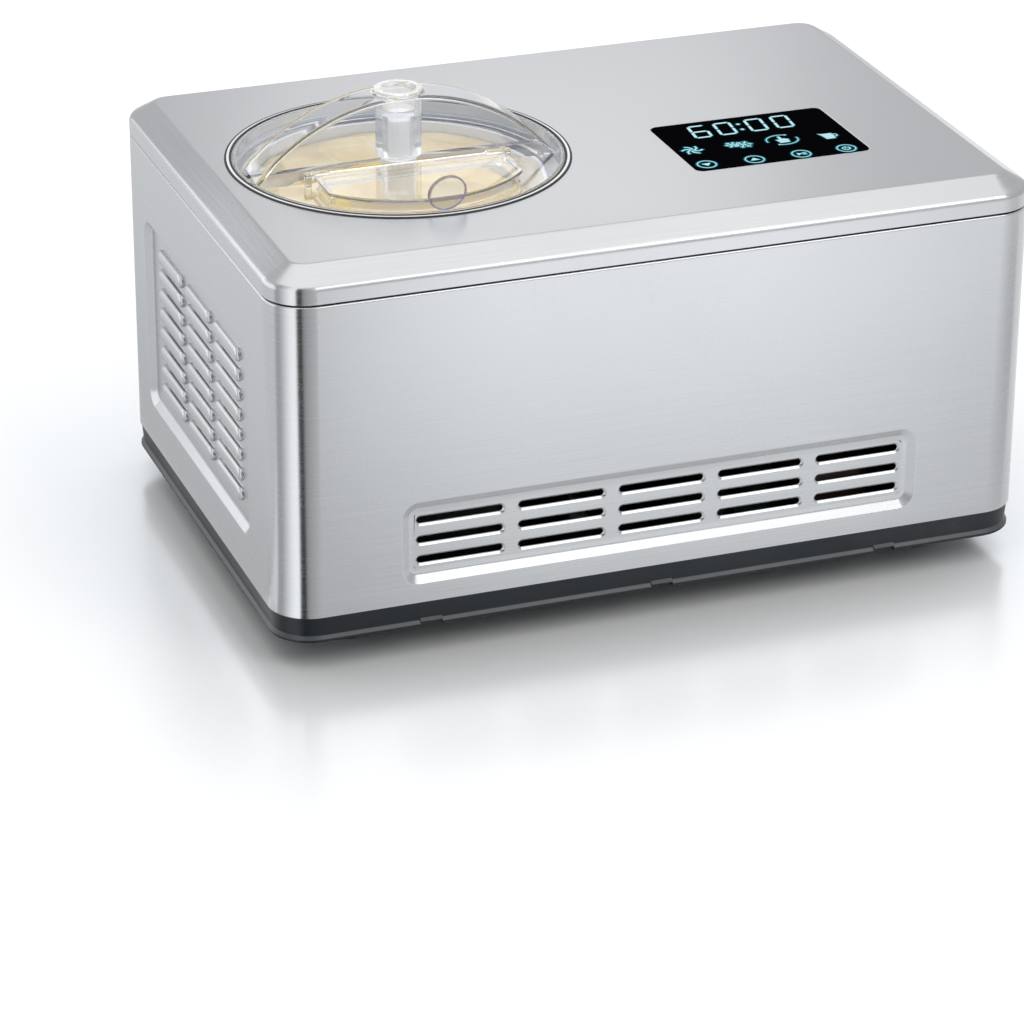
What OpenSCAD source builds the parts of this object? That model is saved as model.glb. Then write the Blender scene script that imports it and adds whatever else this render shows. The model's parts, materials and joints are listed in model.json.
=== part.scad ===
// Compressor ice cream maker: steel housing, lift-out bowl, driven dasher and cooling circuit.
// Millimetres. X runs along the front, Y towards the back, Z up from the table.

/* [Housing] */
// Width along the front
body_w = 425; // [415:1:460]
// Depth from front to back
body_d = 290; // [284:1:320]
// Radius of the upright corners
corner_r = 22.8; // [18:0.2:26]
// Thickness of the steel sheet
sheet_t = 1; // [0.8:0.1:1.2]
// Height of the feet below the base tray
foot_h = 15.5; // [12:0.5:20]
// Height of the base tray's skirt
tray_h = 14.5; // [12:0.5:18]
// Height of the steel wrap
wrap_h = 174.4; // [174.4:0.2:186]
// Height of the top cover's upright band
band_h = 9.6; // [8:0.2:12]
// Height of the top cover's bevel
bevel_h = 8.2; // [7:0.2:10]
// Width of the top cover's bevel, seen from above
bevel_w = 14; // [11:0.5:17]
// Radius of a foot
foot_r = 13; // [10:0.5:16]
// Distance of the feet from the sides
foot_side = 48; // [44:1:60]
// Distance of the feet from the front and back
foot_end = 40; // [34:1:50]

/* [Vents] */
// Depth that the vent fields are pressed in
vent_depth = 3.5; // [2.5:0.1:4.5]
// Width of the front vent field
front_w = 290; // [286:1:300]
// Height of the front vent field
front_h = 45; // [43:1:50]
// Height of the front vent field's lower edge above the base tray
front_lift = 11.5; // [10:0.5:16]
// Columns of slots in the front field
slot_cols = 5; // [3:1:5]
// Rows of slots in the front field
slot_rows = 3; // [2:1:3]
// Length of a front slot
slot_len = 48; // [40:0.5:50]
// Height of a front slot
slot_h = 4.2; // [3:0.2:5]
// Distance between slot columns
slot_pitch_x = 56.5; // [54:0.5:57]
// Distance between slot rows
slot_pitch_z = 11.4; // [9:0.2:12]
// Height of the slots' middle row above the middle of the field
slot_rise = 0; // [0:0.2:2]
// Depth along Y of the side louvre field
side_w = 190; // [180:1:200]
// Height of the side louvre field
side_h = 108; // [106:1:116]
// Height of the side field's lower edge above the base tray
side_lift = 25; // [22:1:32]
// Columns of louvres in a side field
louvre_cols = 3; // [2:1:3]
// Rows of louvres in a side field
louvre_rows = 8; // [5:1:8]
// Length of a louvre
louvre_len = 44; // [38:1:48]
// Height of a louvre
louvre_h = 7.5; // [6:0.25:8.5]
// Distance between louvre columns
louvre_pitch_y = 53; // [50:1:55]
// Distance between louvre rows
louvre_pitch_z = 11.4; // [10:0.1:12.5]

/* [Bowl] */
// Distance of the bowl's axis to the left of the middle
bowl_shift = 98; // [97:0.5:102]
// Height of the bowl
bowl_h = 125; // [120:1:126]
// Outer radius of the bowl at its bottom
bowl_r_bot = 70; // [66:0.5:72]
// Outer radius of the bowl at its rim
bowl_r_top = 79; // [77:0.5:79.5]
// Thickness of the bowl's wall
bowl_wall = 1.2; // [1:0.1:1.6]
// Radius of the bowl's rounded bottom edge
bowl_edge = 9; // [6:0.5:12]
// Radius of the rolled rim's wire
rim_roll = 1.3; // [1:0.1:1.5]
// Depth of the rim below the top cover
rim_drop = 14.2; // [14:0.2:16]
// Radius of the bail's wire
bail_wire = 1.3; // [1:0.1:1.5]

/* [Lid] */
// Outer radius of the lid
lid_r = 88.6; // [88.3:0.1:88.8]
// Thickness of the lid's floor and ridge
lid_t = 2; // [1.6:0.1:2.4]
// Depth of the lid's floor below the top cover
lid_drop = 4.7; // [4:0.1:5.2]
// Height of the ridge's crown above the top cover
crown_h = 36.8; // [32:0.2:42]
// Radius of the ridge's arc
crown_r = 108.3; // [104:0.1:118]
// Width of the ridge
ridge_w = 26; // [25.6:0.2:28]
// Outer radius of the clear tube
tube_r = 12.3; // [11.5:0.1:12.5]
// Half length of the refill flap
flap_half = 54; // [48:0.5:56]
// Radius of the flap's curved edge, about the bowl's axis
flap_r = 71.5; // [68:0.5:73]
// Distance of the flap's hinge from the bowl's axis
hinge_y = 16.2; // [16.2:0.1:17]
// Radius of the finger tab
tab_r = 10.4; // [8:0.2:10.4]

/* [Display] */
// Width of the glass
glass_w = 100; // [94:1:104]
// Depth of the glass
glass_d = 70; // [64:1:72]
// Thickness of the glass
glass_t = 3; // [2:0.2:3.4]
// Distance of the glass's middle from the bowl's axis
glass_x = 192; // [190:1:196]
// Distance of the glass's middle towards the front
glass_y = 41; // [38:1:46]

/* [Drive] */
// Module of the output gears
mod_out = 1; // [0.95:0.01:1.02]
// Module of the motor gears
mod_in = 0.8; // [0.76:0.01:0.84]
// Teeth of the output gear
teeth_out = 64; // [60:1:66]
// Teeth of the intermediate pinion
teeth_mid_small = 14; // [13:1:16]
// Teeth of the intermediate wheel
teeth_mid_large = 60; // [56:1:62]
// Teeth of the motor pinion
teeth_motor = 12; // [11:1:14]
// Radius of the drive shaft
shaft_r = 5; // [4.5:0.1:5.4]
// Distance across the flats of the shaft's hexagon
hex_af = 8; // [7:0.1:8.2]
// Height of the motor's can
motor_h = 32; // [28:0.5:34]
// Radius of the motor's can
motor_r = 24; // [22:0.5:26]

/* [Cooling] */
// Outer radius of the foam jacket
foam_r = 98; // [96:0.5:98]
// Thickness of the well's sheet
well_t = 1.2; // [1:0.1:1.5]
// Radius of the evaporator tube
evap_r = 3.2; // [2.6:0.1:3.4]
// Turns of the evaporator tube
evap_turns = 7; // [5:1:7]
// Radius of the compressor's shell
comp_r = 50; // [46:0.5:51]
// Height of the compressor's shell
comp_h = 128; // [118:1:132]
// Thickness of the condenser
cond_t = 20; // [16:1:22]
// Length of the condenser
cond_l = 150; // [146:1:156]
// Height of the condenser
cond_h = 140; // [134:1:144]
// Tip radius of the fan
fan_r = 55; // [50:0.5:56]
// Number of fan blades
fan_count = 7; // [5:1:9]

/* [Clearances] */
// Air between the bowl and the well
well_gap = 0.8; // [0.6:0.1:0.9]
// Air between a soft or curved seat and what it holds
seat_gap = 0.3; // [0.2:0.05:0.4]
// Radial clearance of a shaft or pin in its bore
run_gap = 0.05; // [0.03:0.01:0.08]
// Air round loose holes for screws and tubes
hole_gap = 0.4; // [0.3:0.05:0.6]

/* [Hidden] */
$fn = 72;

steel = [0.74, 0.74, 0.75];
dark_plastic = [0.20, 0.23, 0.27];
clear = [0.86, 0.89, 0.93, 0.45];
aluminium = [0.78, 0.79, 0.80];
rubber = [0.10, 0.10, 0.11];
white_plastic = [0.88, 0.88, 0.86];
copper = [0.78, 0.47, 0.30];
black_paint = [0.08, 0.08, 0.09];
zinc = [0.63, 0.64, 0.66];
brass = [0.72, 0.58, 0.33];
board_green = [0.10, 0.35, 0.22];

// Levels, from the table upwards
tray_z = foot_h;
wrap_z = tray_z + tray_h;
seam_z = wrap_z + wrap_h;
top_z = seam_z + band_h + bevel_h;
tray_floor = 2.5;
floor_z = tray_z + tray_floor;
seam_gap = 0.3;
rim_z = top_z - rim_drop;
bowl_z = rim_z - bowl_h;
foot_ring_h = 3;
well_z = bowl_z - foot_ring_h;
foam_floor = 5.3;
bridge_t = 1.5;
bridge_z = well_z - well_t - foam_floor - bridge_t;
cover_t = 2;
wheel_t = 5;
gear_lift = 3;
gear_step = 1;
gear_head = 1.5;
case_h = gear_lift + 2*wheel_t + gear_step + gear_head;
case_z = bridge_z - cover_t - case_h;
motor_z = case_z - motor_h;

// Places on the plan
bowl_x = -bowl_shift;
inner_x = body_w/2 - sheet_t;
inner_y = body_d/2 - sheet_t;

// Tray
tray_wall = 3;
tray_inset = 0.3;
tray_lip = 3;
notch_side = 82.5;
wall_gap = 1;
rim_up = 8;

// Rear panel, which sits in a step behind the rear corners
rear_open = body_w/2 - 40.5;
rear_overlap = 22;
rear_step = sheet_t;
rear_screw_x = rear_open - 11;
rear_screw_zs = [wrap_z + 22, wrap_z + wrap_h/2, seam_z - 22];
screw_r = 1.5;
gland_x = rear_open - 44;
gland_z = wrap_z + 30;
cord_r = 3.6;

// Bowl fittings
pin_z = rim_z + 2;
pin_r = 1.6;
pin_head = 1;
lug_x = bowl_r_top + 1.7;
lug_t = 1.3;
lug_half = 4.5;
eye_r = 4;
eye_x = lug_x + lug_t + seat_gap;
bail_r = eye_x + bail_wire;
pin_reach = eye_x + 2*bail_wire + seat_gap + pin_head;
chimney_in = 9.5;
chimney_t = 2;
chimney_h = 30;

// Well opening
pin_pass = 1.1;
ring_in = pin_reach + pin_pass;
ring_seat = lid_r + 0.4;
ring_out = 92;
ring_z = rim_z - 12;
ledge_z = rim_z + 5;
flange_r = 98;
flange_t = 2.5;
cover_hole = ring_out + hole_gap;

// Lid
lid_wall = 1.8;
lid_floor_top = top_z - lid_drop;
lid_rim_z = top_z + 1;
crown_z = top_z + crown_h;
crown_axis_z = crown_z - crown_r;
tube_top = crown_z + 1.5;
tube_bottom = top_z + 1.8;
tube_wall = 3.7;
cup_depth = 11;
flap_t = 2;
flap_z = top_z + 0.1;
collar_top = flap_z - seat_gap;
collar_inset = 1.8;
collar_t = 1.8;
hinge_z = flap_z + flap_t/2;
knuckle_r = 2;
hinge_pin_r = 1;
flap_back = hinge_y + knuckle_r + 0.9;
knuckle_l = 10;
ear_w = 3;
tab_t = 2.2;
tab_x = 1;

// Dasher
journal_r = 6;
journal_top = tube_bottom + 20;
post_r = 9.5;
hub_wall = 2.4;
hub_gap = 0.8;
hub_in = chimney_in + chimney_t + hub_gap;
chimney_top = bowl_z + chimney_h;
hub_z = bowl_z + bowl_wall + 2;
socket_h = 14;
hub_top = chimney_top + 2 + socket_h + 3;
blade_t = 4;
blade_gap = 2;

// Gear train: output wheel round the bowl's axis, idler to its left, motor in front of the idler
gear_angle = 25;
mesh_gap = 0.22;
centre_out = mod_out*(teeth_out + teeth_mid_small)/2;
centre_in = mod_in*(teeth_mid_large + teeth_motor)/2;
idler_x = bowl_x - centre_out;
motor_x = idler_x;
motor_y = -centre_in;
in_z = case_z + gear_lift;
out_z = in_z + wheel_t + gear_step;
case_wall = 2;
case_left = idler_x - mod_in*teeth_mid_large/2 - 6;
case_right = bowl_x + mod_out*teeth_out/2 + 6;
case_front = motor_y - 15;
case_back = mod_out*teeth_out/2 + 6;
idler_pin_r = 2;
rotor_shaft_r = 2.5;
rotor_r = 12;
bush_r = 8;
seal_r = 12;
bush_top = well_z + 2;

// Bridge bracket
bridge_half = 78.5;
bridge_d = 120;
bridge_foot = 12;

// Foam cavity and coil
coil_back = seat_gap + evap_r;
coil_low = well_z + 16;
coil_high = rim_z - 28;
coil_step = 12;
coil_lead = 4;
lead_slot = 46;
well_top = rim_z - 14;
sensor_x = 50;
sensor_r = 3;

// Compressor
comp_gap = 9;
comp_flange = 3;
comp_x = bowl_x + foam_r + comp_gap + comp_r + comp_flange;
comp_y = 38;
plate_z = floor_z + 12;
plate_t = 3;
comp_z = plate_z + plate_t;
grommet_r = 8;
grommet_x = comp_r - 2;
grommet_y = comp_r - 8;
suction_z = comp_z + 87;
discharge_z = comp_z + 37;
stub_r = 4;
stub_l = 12;

// Condenser and fan
cond_x = inner_x - vent_depth - 2;
cond_y = 4;
cond_z = wrap_z + 10;
cond_rows = 6;
cond_tube_r = 4;
fin_t = 0.8;
fin_pitch = 5;
end_t = 1.2;
row_pitch = cond_h/cond_rows;
shroud_t = 2;
duct_l = 12;
duct_gap = 3;
fan_y = cond_y;
fan_z = cond_z + cond_h/2;
shroud_x = cond_x - cond_t - 10;
fan_motor_r = 19;
fan_motor_l = 26;
fan_motor_x = shroud_x - 42;
fan_shaft_r = 1.6;

// Filter drier, behind the compressor
drier_r = 8;
drier_x0 = 20;
drier_x1 = 95;
drier_y = inner_y - 19;
drier_z = floor_z + 42;

// Power board, behind the front vent
board_x = 80;
board_w = 120;
board_d = 60;
board_y = 12 + board_d/2 - inner_y;
board_z = floor_z + 8;
board_t = 1.6;

// ---- Shared shapes ----

module rounded_rect(w, d, r) {
    square([w - 2*r, d], center = true);
    square([w, d - 2*r], center = true);
    for (sx = [-1, 1], sy = [-1, 1])
        translate([sx*(w/2 - r), sy*(d/2 - r)]) circle(r);
}

module rounded_block(w, d, r, z0, z1) {
    translate([0, 0, z0]) linear_extrude(z1 - z0) rounded_rect(w, d, r);
}

// Block as wide as the housing less an inset on every side
module inset_block(inset, z0, z1) {
    rounded_block(body_w - 2*inset, body_d - 2*inset, corner_r - inset, z0, z1);
}

module box(x0, x1, y0, y1, z0, z1) {
    translate([x0, y0, z0]) cube([x1 - x0, y1 - y0, z1 - z0]);
}

module rod(r, z0, z1) {
    translate([0, 0, z0]) cylinder(r = r, h = z1 - z0);
}

module rod_x(r, x0, x1) {
    translate([x0, 0, 0]) rotate([0, 90, 0]) cylinder(r = r, h = x1 - x0);
}

module rod_y(r, y0, y1) {
    translate([0, y1, 0]) rotate([90, 0, 0]) cylinder(r = r, h = y1 - y0);
}

module pipe(r_in, r_out, z0, z1) {
    difference() {
        rod(r_out, z0, z1);
        rod(r_in, z0 - 1, z1 + 1);
    }
}

module at_bowl() { translate([bowl_x, 0, 0]) children(); }

function unit(v) = v/norm(v);

function directions(p) = [for (i = [0:len(p) - 1])
    unit(p[min(i + 1, len(p) - 1)] - p[max(i - 1, 0)])];

// Side vectors that turn as little as they can along a path
function side_vectors(t) = [for (i = 0, n = unit(cross(t[0], [0.31, 0.17, 0.93])); i < len(t);
    i = i + 1, n = i < len(t) ? unit(n - (n*t[i])*t[i]) : n) n];

// Closed round tube along a list of points
module swept_tube(path, r, sides = 10) {
    t = directions(path);
    n = side_vectors(t);
    last = len(path) - 1;
    points = [for (i = [0:last], k = [0:sides - 1])
        path[i] + r*(cos(360*k/sides)*n[i] + sin(360*k/sides)*cross(t[i], n[i]))];
    walls = [for (i = [0:last - 1], k = [0:sides - 1]) each [
        [i*sides + k, (i + 1)*sides + k, i*sides + (k + 1)%sides],
        [i*sides + (k + 1)%sides, (i + 1)*sides + k, (i + 1)*sides + (k + 1)%sides]]];
    polyhedron(points, concat(walls, [[for (k = [0:sides - 1]) k]],
        [[for (k = [sides - 1:-1:0]) last*sides + k]]));
}

// Smooth points through a few chosen ones, by a cubic between each pair, with a straight run at each end
function route(start, p, end, steps) = concat([start], smooth(p, steps), [end]);

function smooth(p, steps) = concat([for (i = [0:len(p) - 2], s = [0:steps - 1])
    let (a = p[i], b = p[i + 1], u = s/steps,
         ma = (i == 0 ? b - a : (b - p[i - 1])/2),
         mb = (i + 2 > len(p) - 1 ? b - a : (p[i + 2] - a)/2))
    (2*u*u*u - 3*u*u + 1)*a + (u*u*u - 2*u*u + u)*ma
    + (3*u*u - 2*u*u*u)*b + (u*u*u - u*u)*mb], [p[len(p) - 1]]);

// Outline of a tapered round cup with a rounded bottom edge, as radius and height
function cup_outline(r_bot, r_top, z_bot, z_top, edge) = concat([[0, z_bot]],
    [for (a = [-90:15:0]) [r_bot - edge + edge*cos(a), z_bot + edge + edge*sin(a)]],
    [[r_top, z_top], [0, z_top]]);

module cup(r_bot, r_top, z_bot, z_top, edge) {
    rotate_extrude() polygon(cup_outline(r_bot, r_top, z_bot, z_top, edge));
}

// Outer radius of the bowl at a height
function bowl_r(z) = bowl_r_bot + (bowl_r_top - bowl_r_bot)*(z - bowl_z - bowl_edge)/(bowl_h - bowl_edge);

// ---- Housing ----

module base_tray() {
    boss_r = 7;
    color(dark_plastic) difference() {
        union() {
            inset_block(tray_inset + 1.5, tray_z, tray_z + tray_lip);
            inset_block(tray_inset, tray_z + tray_lip, wrap_z);
            inset_block(sheet_t + seat_gap, wrap_z - 1, wrap_z + rim_up);
        }
        inset_block(tray_inset + tray_wall, floor_z, wrap_z + rim_up + 1);
        box(-rear_open - 2, rear_open + 2, inner_y - 3*sheet_t, body_d, wrap_z, wrap_z + rim_up + 1);
        at_feet() rod(screw_r + hole_gap, tray_z - 1, floor_z + 1);
        for (side = [-1:1])
            translate([side*(body_w/2 - notch_side), -body_d/2, tray_z]) rotate([0, 90, 0])
                linear_extrude(12, center = true) polygon([[1, -1], [-2.2, -1], [1, 6]]);
    }
    color(dark_plastic) at_feet() pipe(screw_r + run_gap, boss_r, floor_z, floor_z + 6);
}

module at_feet() {
    for (sx = [-1, 1], sy = [-1, 1])
        translate([sx*(body_w/2 - foot_side), sy*(body_d/2 - foot_end), 0]) children();
}

module feet() {
    color(rubber) at_feet() difference() {
        cylinder(r1 = foot_r - 1, r2 = foot_r, h = foot_h);
        rod(foot_r/2, -1, foot_h - 5);
        rod(screw_r + hole_gap, 0, foot_h + 1);
    }
}

module foot_screws() {
    color(zinc) at_feet() {
        rod(3.4, foot_h - 7.4, foot_h - 5);
        rod(screw_r, foot_h - 5, floor_z + 6);
    }
}

// Slots and field of the front vent, cut and pressed from the wrap
module front_field(grow, y0, y1) {
    mid_z = wrap_z + front_lift + front_h/2;
    translate([0, y1, mid_z]) rotate([90, 0, 0]) linear_extrude(y1 - y0)
        rounded_rect(front_w + 2*grow, front_h + 2*grow, 6 + grow);
}

module front_slots() {
    mid_z = wrap_z + front_lift + front_h/2;
    for (col = [0:slot_cols - 1], row = [0:slot_rows - 1])
        translate([(col - (slot_cols - 1)/2)*slot_pitch_x, -body_d/2 + 10,
                   mid_z + slot_rise + (row - (slot_rows - 1)/2)*slot_pitch_z])
            rotate([90, 0, 0]) linear_extrude(20) rounded_rect(slot_len, slot_h, slot_h/2 - 0.01);
}

// Field of a side vent on the +X wall: x0 to x1 measured from the outer face inwards
module side_field(grow, depth0, depth1) {
    mid_z = wrap_z + side_lift + side_h/2;
    translate([body_w/2 - depth1, 0, mid_z]) rotate([90, 0, 90]) linear_extrude(depth1 - depth0)
        rounded_rect(side_w + 2*grow, side_h + 2*grow, 8 + grow);
}

module at_louvres() {
    mid_z = wrap_z + side_lift + side_h/2;
    for (col = [0:louvre_cols - 1], row = [0:louvre_rows - 1])
        translate([body_w/2 - vent_depth, (col - (louvre_cols - 1)/2)*louvre_pitch_y,
                   mid_z + (row - (louvre_rows - 1)/2)*louvre_pitch_z]) children();
}

module louvre_hood() {
    out = vent_depth - 0.6;
    rotate([90, 0, 0]) linear_extrude(louvre_len, center = true)
        polygon([[-0.5, louvre_h/2], [0, louvre_h/2], [out, -louvre_h/4],
                 [out, -louvre_h/2], [out - 0.8, -louvre_h/2], [out - 0.8, -louvre_h/4],
                 [-0.5, louvre_h/2 - 1.2]]);
}

module side_louvre_panel() {
    difference() {
        side_field(sheet_t, sheet_t/2, vent_depth + sheet_t);
        side_field(0, -1, vent_depth);
        at_louvres() cube([4*sheet_t, louvre_len - 2, louvre_h - 2], center = true);
    }
    at_louvres() louvre_hood();
}

module housing_wrap() {
    color(steel) {
        difference() {
            inset_block(0, wrap_z, seam_z - seam_gap);
            difference() {
                inset_block(sheet_t, wrap_z - 1, seam_z + 1);
                difference() {
                    box(-body_w, body_w, -body_d, body_d, seam_z - seam_gap - sheet_t, seam_z);
                    inset_block(9, wrap_z, seam_z + 1);
                }
            }
            front_field(0, -body_d/2 - 1, -body_d/2 + vent_depth);
            side_field(0, -1, vent_depth);
            mirror([1, 0, 0]) side_field(0, -1, vent_depth);
            box(-rear_open, rear_open, inner_y - 20, body_d, wrap_z - 1, seam_z + 1);
        }
        difference() {
            front_field(sheet_t, -body_d/2 + sheet_t/2, -body_d/2 + vent_depth + sheet_t);
            front_field(0, -body_d/2 - 1, -body_d/2 + vent_depth);
            front_slots();
        }
        side_louvre_panel();
        mirror([1, 0, 0]) side_louvre_panel();
        for (sx = [0, 1]) mirror([sx, 0, 0]) difference() {
            union() {
                box(rear_open - rear_overlap, rear_open, inner_y - rear_step - sheet_t, inner_y - rear_step,
                    wrap_z, seam_z - 10);
                box(rear_open - 0.01, rear_open + sheet_t, inner_y - rear_step - sheet_t, inner_y + 0.5,
                    wrap_z, seam_z - 10);
            }
            at_rear_screws() rod_y(screw_r + run_gap, -20, 20);
        }
    }
}

module at_rear_screws() {
    for (z = rear_screw_zs) translate([rear_screw_x, inner_y, z]) children();
}

module rear_panel() {
    plate_x = rear_open - seat_gap;
    color(steel) difference() {
        box(-plate_x, plate_x, inner_y - rear_step, inner_y - rear_step + sheet_t,
            wrap_z, seam_z - seam_gap - sheet_t - 0.2);
        for (sx = [0, 1]) mirror([sx, 0, 0]) at_rear_screws() rod_y(screw_r + run_gap, -20, 20);
        translate([gland_x, inner_y, gland_z]) rod_y(7 + run_gap, -20, 20);
        for (row = [0:7], col = [-2:2])
            translate([col*26, inner_y, wrap_z + 50 + row*9]) cube([18, 20, 3], center = true);
    }
}

module rear_screws() {
    color(zinc) for (sx = [0, 1]) mirror([sx, 0, 0]) at_rear_screws() {
        rod_y(2.8, 0, 0.9);
        rod_y(screw_r, -8, 0);
    }
}

module cord_gland() {
    color(rubber) translate([gland_x, inner_y, gland_z]) difference() {
        union() {
            rod_y(9.5, 0, 0.9);
            rod_y(7, -3, 0);
            rod_y(9.5, -14, -sheet_t);
        }
        rod_y(cord_r, -15, 2);
    }
}

// Plate with a bevel all round: prisms along X and Y, and a cone at each corner
module bevel_block(inset, z0, z_bevel, z1, slope_w) {
    w = body_w - 2*inset;
    d = body_d - 2*inset;
    r = corner_r - inset;
    rounded_block(w, d, r, z0, z_bevel);
    rotate([90, 0, 90]) linear_extrude(w - 2*r, center = true)
        polygon([[-d/2, z_bevel], [d/2, z_bevel], [d/2 - slope_w, z1], [slope_w - d/2, z1]]);
    rotate([90, 0, 0]) linear_extrude(d - 2*r, center = true)
        polygon([[-w/2, z_bevel], [w/2, z_bevel], [w/2 - slope_w, z1], [slope_w - w/2, z1]]);
    for (sx = [-1, 1], sy = [-1, 1])
        translate([sx*(w/2 - r), sy*(d/2 - r), z_bevel])
            cylinder(r1 = r, r2 = r - slope_w, h = z1 - z_bevel);
}

module top_cover() {
    skirt_in = 4;
    skirt_t = 2;
    skirt_top = seam_z + band_h + skirt_in*bevel_h/bevel_w - 0.4;
    color(steel) difference() {
        union() {
            difference() {
                bevel_block(0, seam_z + seam_gap, seam_z + band_h, top_z, bevel_w);
                bevel_block(sheet_t, seam_z - 1, seam_z + band_h - sheet_t/2, top_z - sheet_t, bevel_w);
            }
            difference() {
                inset_block(skirt_in, seam_z - seam_gap, skirt_top);
                inset_block(skirt_in + skirt_t, seam_z - 1, skirt_top + 1);
            }
        }
        at_bowl() rod(cover_hole, seam_z, top_z + 1);
        at_glass() rounded_block(glass_w + 2*seat_gap, glass_d + 2*seat_gap, 4 + seat_gap,
                                 top_z - 5, top_z + 1);
    }
}

module at_glass() { translate([bowl_x + glass_x, -glass_y, 0]) children(); }

module opening_ring() {
    flange_z = top_z - sheet_t;
    color(dark_plastic) at_bowl() rotate_extrude() polygon([
        [ring_in, ring_z], [ring_in, ledge_z], [ring_seat, ledge_z], [ring_seat, top_z + 0.2],
        [ring_seat + 0.4, top_z + 0.6], [ring_out - 0.4, top_z + 0.6], [ring_out, top_z + 0.2],
        [ring_out, flange_z], [flange_r, flange_z], [flange_r, flange_z - flange_t],
        [ring_out - 1, flange_z - flange_t], [ring_out - 1, ring_z]]);
}

module ring_gasket() {
    color(rubber) at_bowl() pipe(ring_in + 0.4, ring_out - 1, well_top, ring_z);
}

// ---- Display ----

carrier_wall = 8;

module display_glass() {
    color("black") at_glass()
        rounded_block(glass_w, glass_d, 4, top_z + seat_gap - glass_t, top_z + seat_gap);
}

module display_carrier() {
    ledge_top = top_z + seat_gap - glass_t;
    color(dark_plastic) at_glass() {
        difference() {
            rounded_block(glass_w + 2*carrier_wall, glass_d + 2*carrier_wall, 6,
                          ledge_top - 2, top_z - sheet_t);
            rounded_block(glass_w + 2*seat_gap, glass_d + 2*seat_gap, 4, ledge_top, top_z);
            rounded_block(glass_w - 8, glass_d - 8, 2, ledge_top - 3, ledge_top + 1);
        }
        at_display_screws() pipe(1 + run_gap, 3, ledge_top - 7, ledge_top - 2);
    }
}

module at_display_screws() {
    for (sx = [-1, 1], sy = [-1, 1])
        translate([sx*(glass_w/2 + 1), sy*(glass_d/2 + 1), 0]) children();
}

module display_board() {
    board_top = top_z + seat_gap - glass_t - 7;
    color(board_green) at_glass() difference() {
        union() {
            rounded_block(glass_w + 10, glass_d + 10, 3, board_top - 1.6, board_top);
            for (x = [-30, 0, 30]) box(x - 8, x + 8, -6, 6, board_top, board_top + 3);
            box(-20, 20, -28, -20, board_top - 7, board_top - 1.6);
        }
        at_display_screws() rod(1 + run_gap, board_top - 3, board_top + 1);
    }
}

module display_screws() {
    board_bottom = top_z + seat_gap - glass_t - 8.6;
    color(zinc) at_glass() at_display_screws() {
        rod(2, board_bottom - 1.4, board_bottom);
        rod(1, board_bottom, board_bottom + 5);
    }
}

// ---- Cold side ----

// Inner radius of the cooling well at a height
function well_r(z) = let (low = well_z + bowl_edge)
    bowl_r_bot + well_gap + (bowl_r(well_top) - bowl_r_bot)*(z - low)/(well_top - low);

module cooling_well() {
    in_bot = bowl_r_bot + well_gap;
    in_top = well_r(well_top);
    color(aluminium) at_bowl() difference() {
        union() {
            cup(in_bot + well_t, in_top + well_t, well_z - well_t, well_top, bowl_edge + well_t);
            rod(ring_out - 1, well_top - well_t, well_top);
        }
        cup(in_bot, in_top, well_z, well_top + 0.01, bowl_edge);
        rod(in_top, well_top, well_top + 1);
        rod(seal_r + run_gap, well_z - 3, well_z + 1);
    }
}

// Point on the coil's centre line; the corners of its steps lie a little outside the true helix
function coil_point(a) = let (u = a/(360*evap_turns), z = coil_low + (coil_high - coil_low)*u,
    r = (well_r(z) + well_t + coil_back)/cos(coil_step/2))
    [bowl_x + r*cos(a), -r*sin(a), z];

evap_in = coil_point(0) + [0, coil_lead, 0];
evap_out = coil_point(360*evap_turns) - [0, coil_lead, 0];

module evaporator_coil() {
    color(copper) swept_tube(concat([evap_in], [for (a = [0:coil_step:360*evap_turns]) coil_point(a)],
        [evap_out]), evap_r, 8);
}

module foam_jacket() {
    grow = well_gap + well_t;
    cavity = grow + 2*coil_back + 3*seat_gap;
    field_x = inner_x - vent_depth - wall_gap;
    color(white_plastic) at_bowl() difference() {
        intersection() {
            rod(foam_r, bridge_z + bridge_t, well_top - well_t);
            box(-field_x - bowl_x, field_x, wall_gap - inner_y, inner_y - wall_gap, bridge_z, well_top);
        }
        cup(bowl_r_bot + cavity, bowl_r(well_top) + cavity, well_z - well_t, well_top, bowl_edge + 4);
        rod(seal_r + hole_gap, bridge_z, well_z);
        box(bowl_r_bot - 10, foam_r + 5, -lead_slot, lead_slot, coil_low - 10, coil_high + 10);
        translate([-sensor_x, 0, 0]) rod(sensor_r + hole_gap, bridge_z, well_z);
        translate([-bowl_x, 0, 0]) at_case_screws() rod(3.4, bridge_z, bridge_z + bridge_t + 2.2);
    }
}

module bowl_sensor() {
    color(zinc) at_bowl() translate([-sensor_x, 0, 0]) rod(sensor_r, well_z - well_t - 4, well_z - well_t);
}

// ---- Drive ----

function involute(a) = tan(a)*180/PI - a;

// Half the angle of a tooth at a radius
function tooth_half(r, rp) = let (rb = rp*cos(gear_angle))
    involute(gear_angle) - involute(acos(min(1, rb/r)));

function gear_outline(m, teeth, phase) = let (
    rp = m*teeth/2, rb = rp*cos(gear_angle), root = rp - 1.05*m, tip = rp + 0.8*m,
    low = max(root, rb), thick = (PI*m/2 - mesh_gap)/(2*rp)*180/PI,
    rs = [root, low, low + (tip - low)/3, low + (tip - low)*2/3, tip])
    [for (k = [0:teeth - 1], s = [-1, 1], i = [0:4])
        let (r = s < 0 ? rs[i] : rs[4 - i], a = phase + 360*k/teeth + s*(thick + tooth_half(r, rp)))
        [r*cos(a), r*sin(a)]];

module gear(m, teeth, z0, z1, phase) {
    translate([0, 0, z0]) linear_extrude(z1 - z0) polygon(gear_outline(m, teeth, phase));
}

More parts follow.
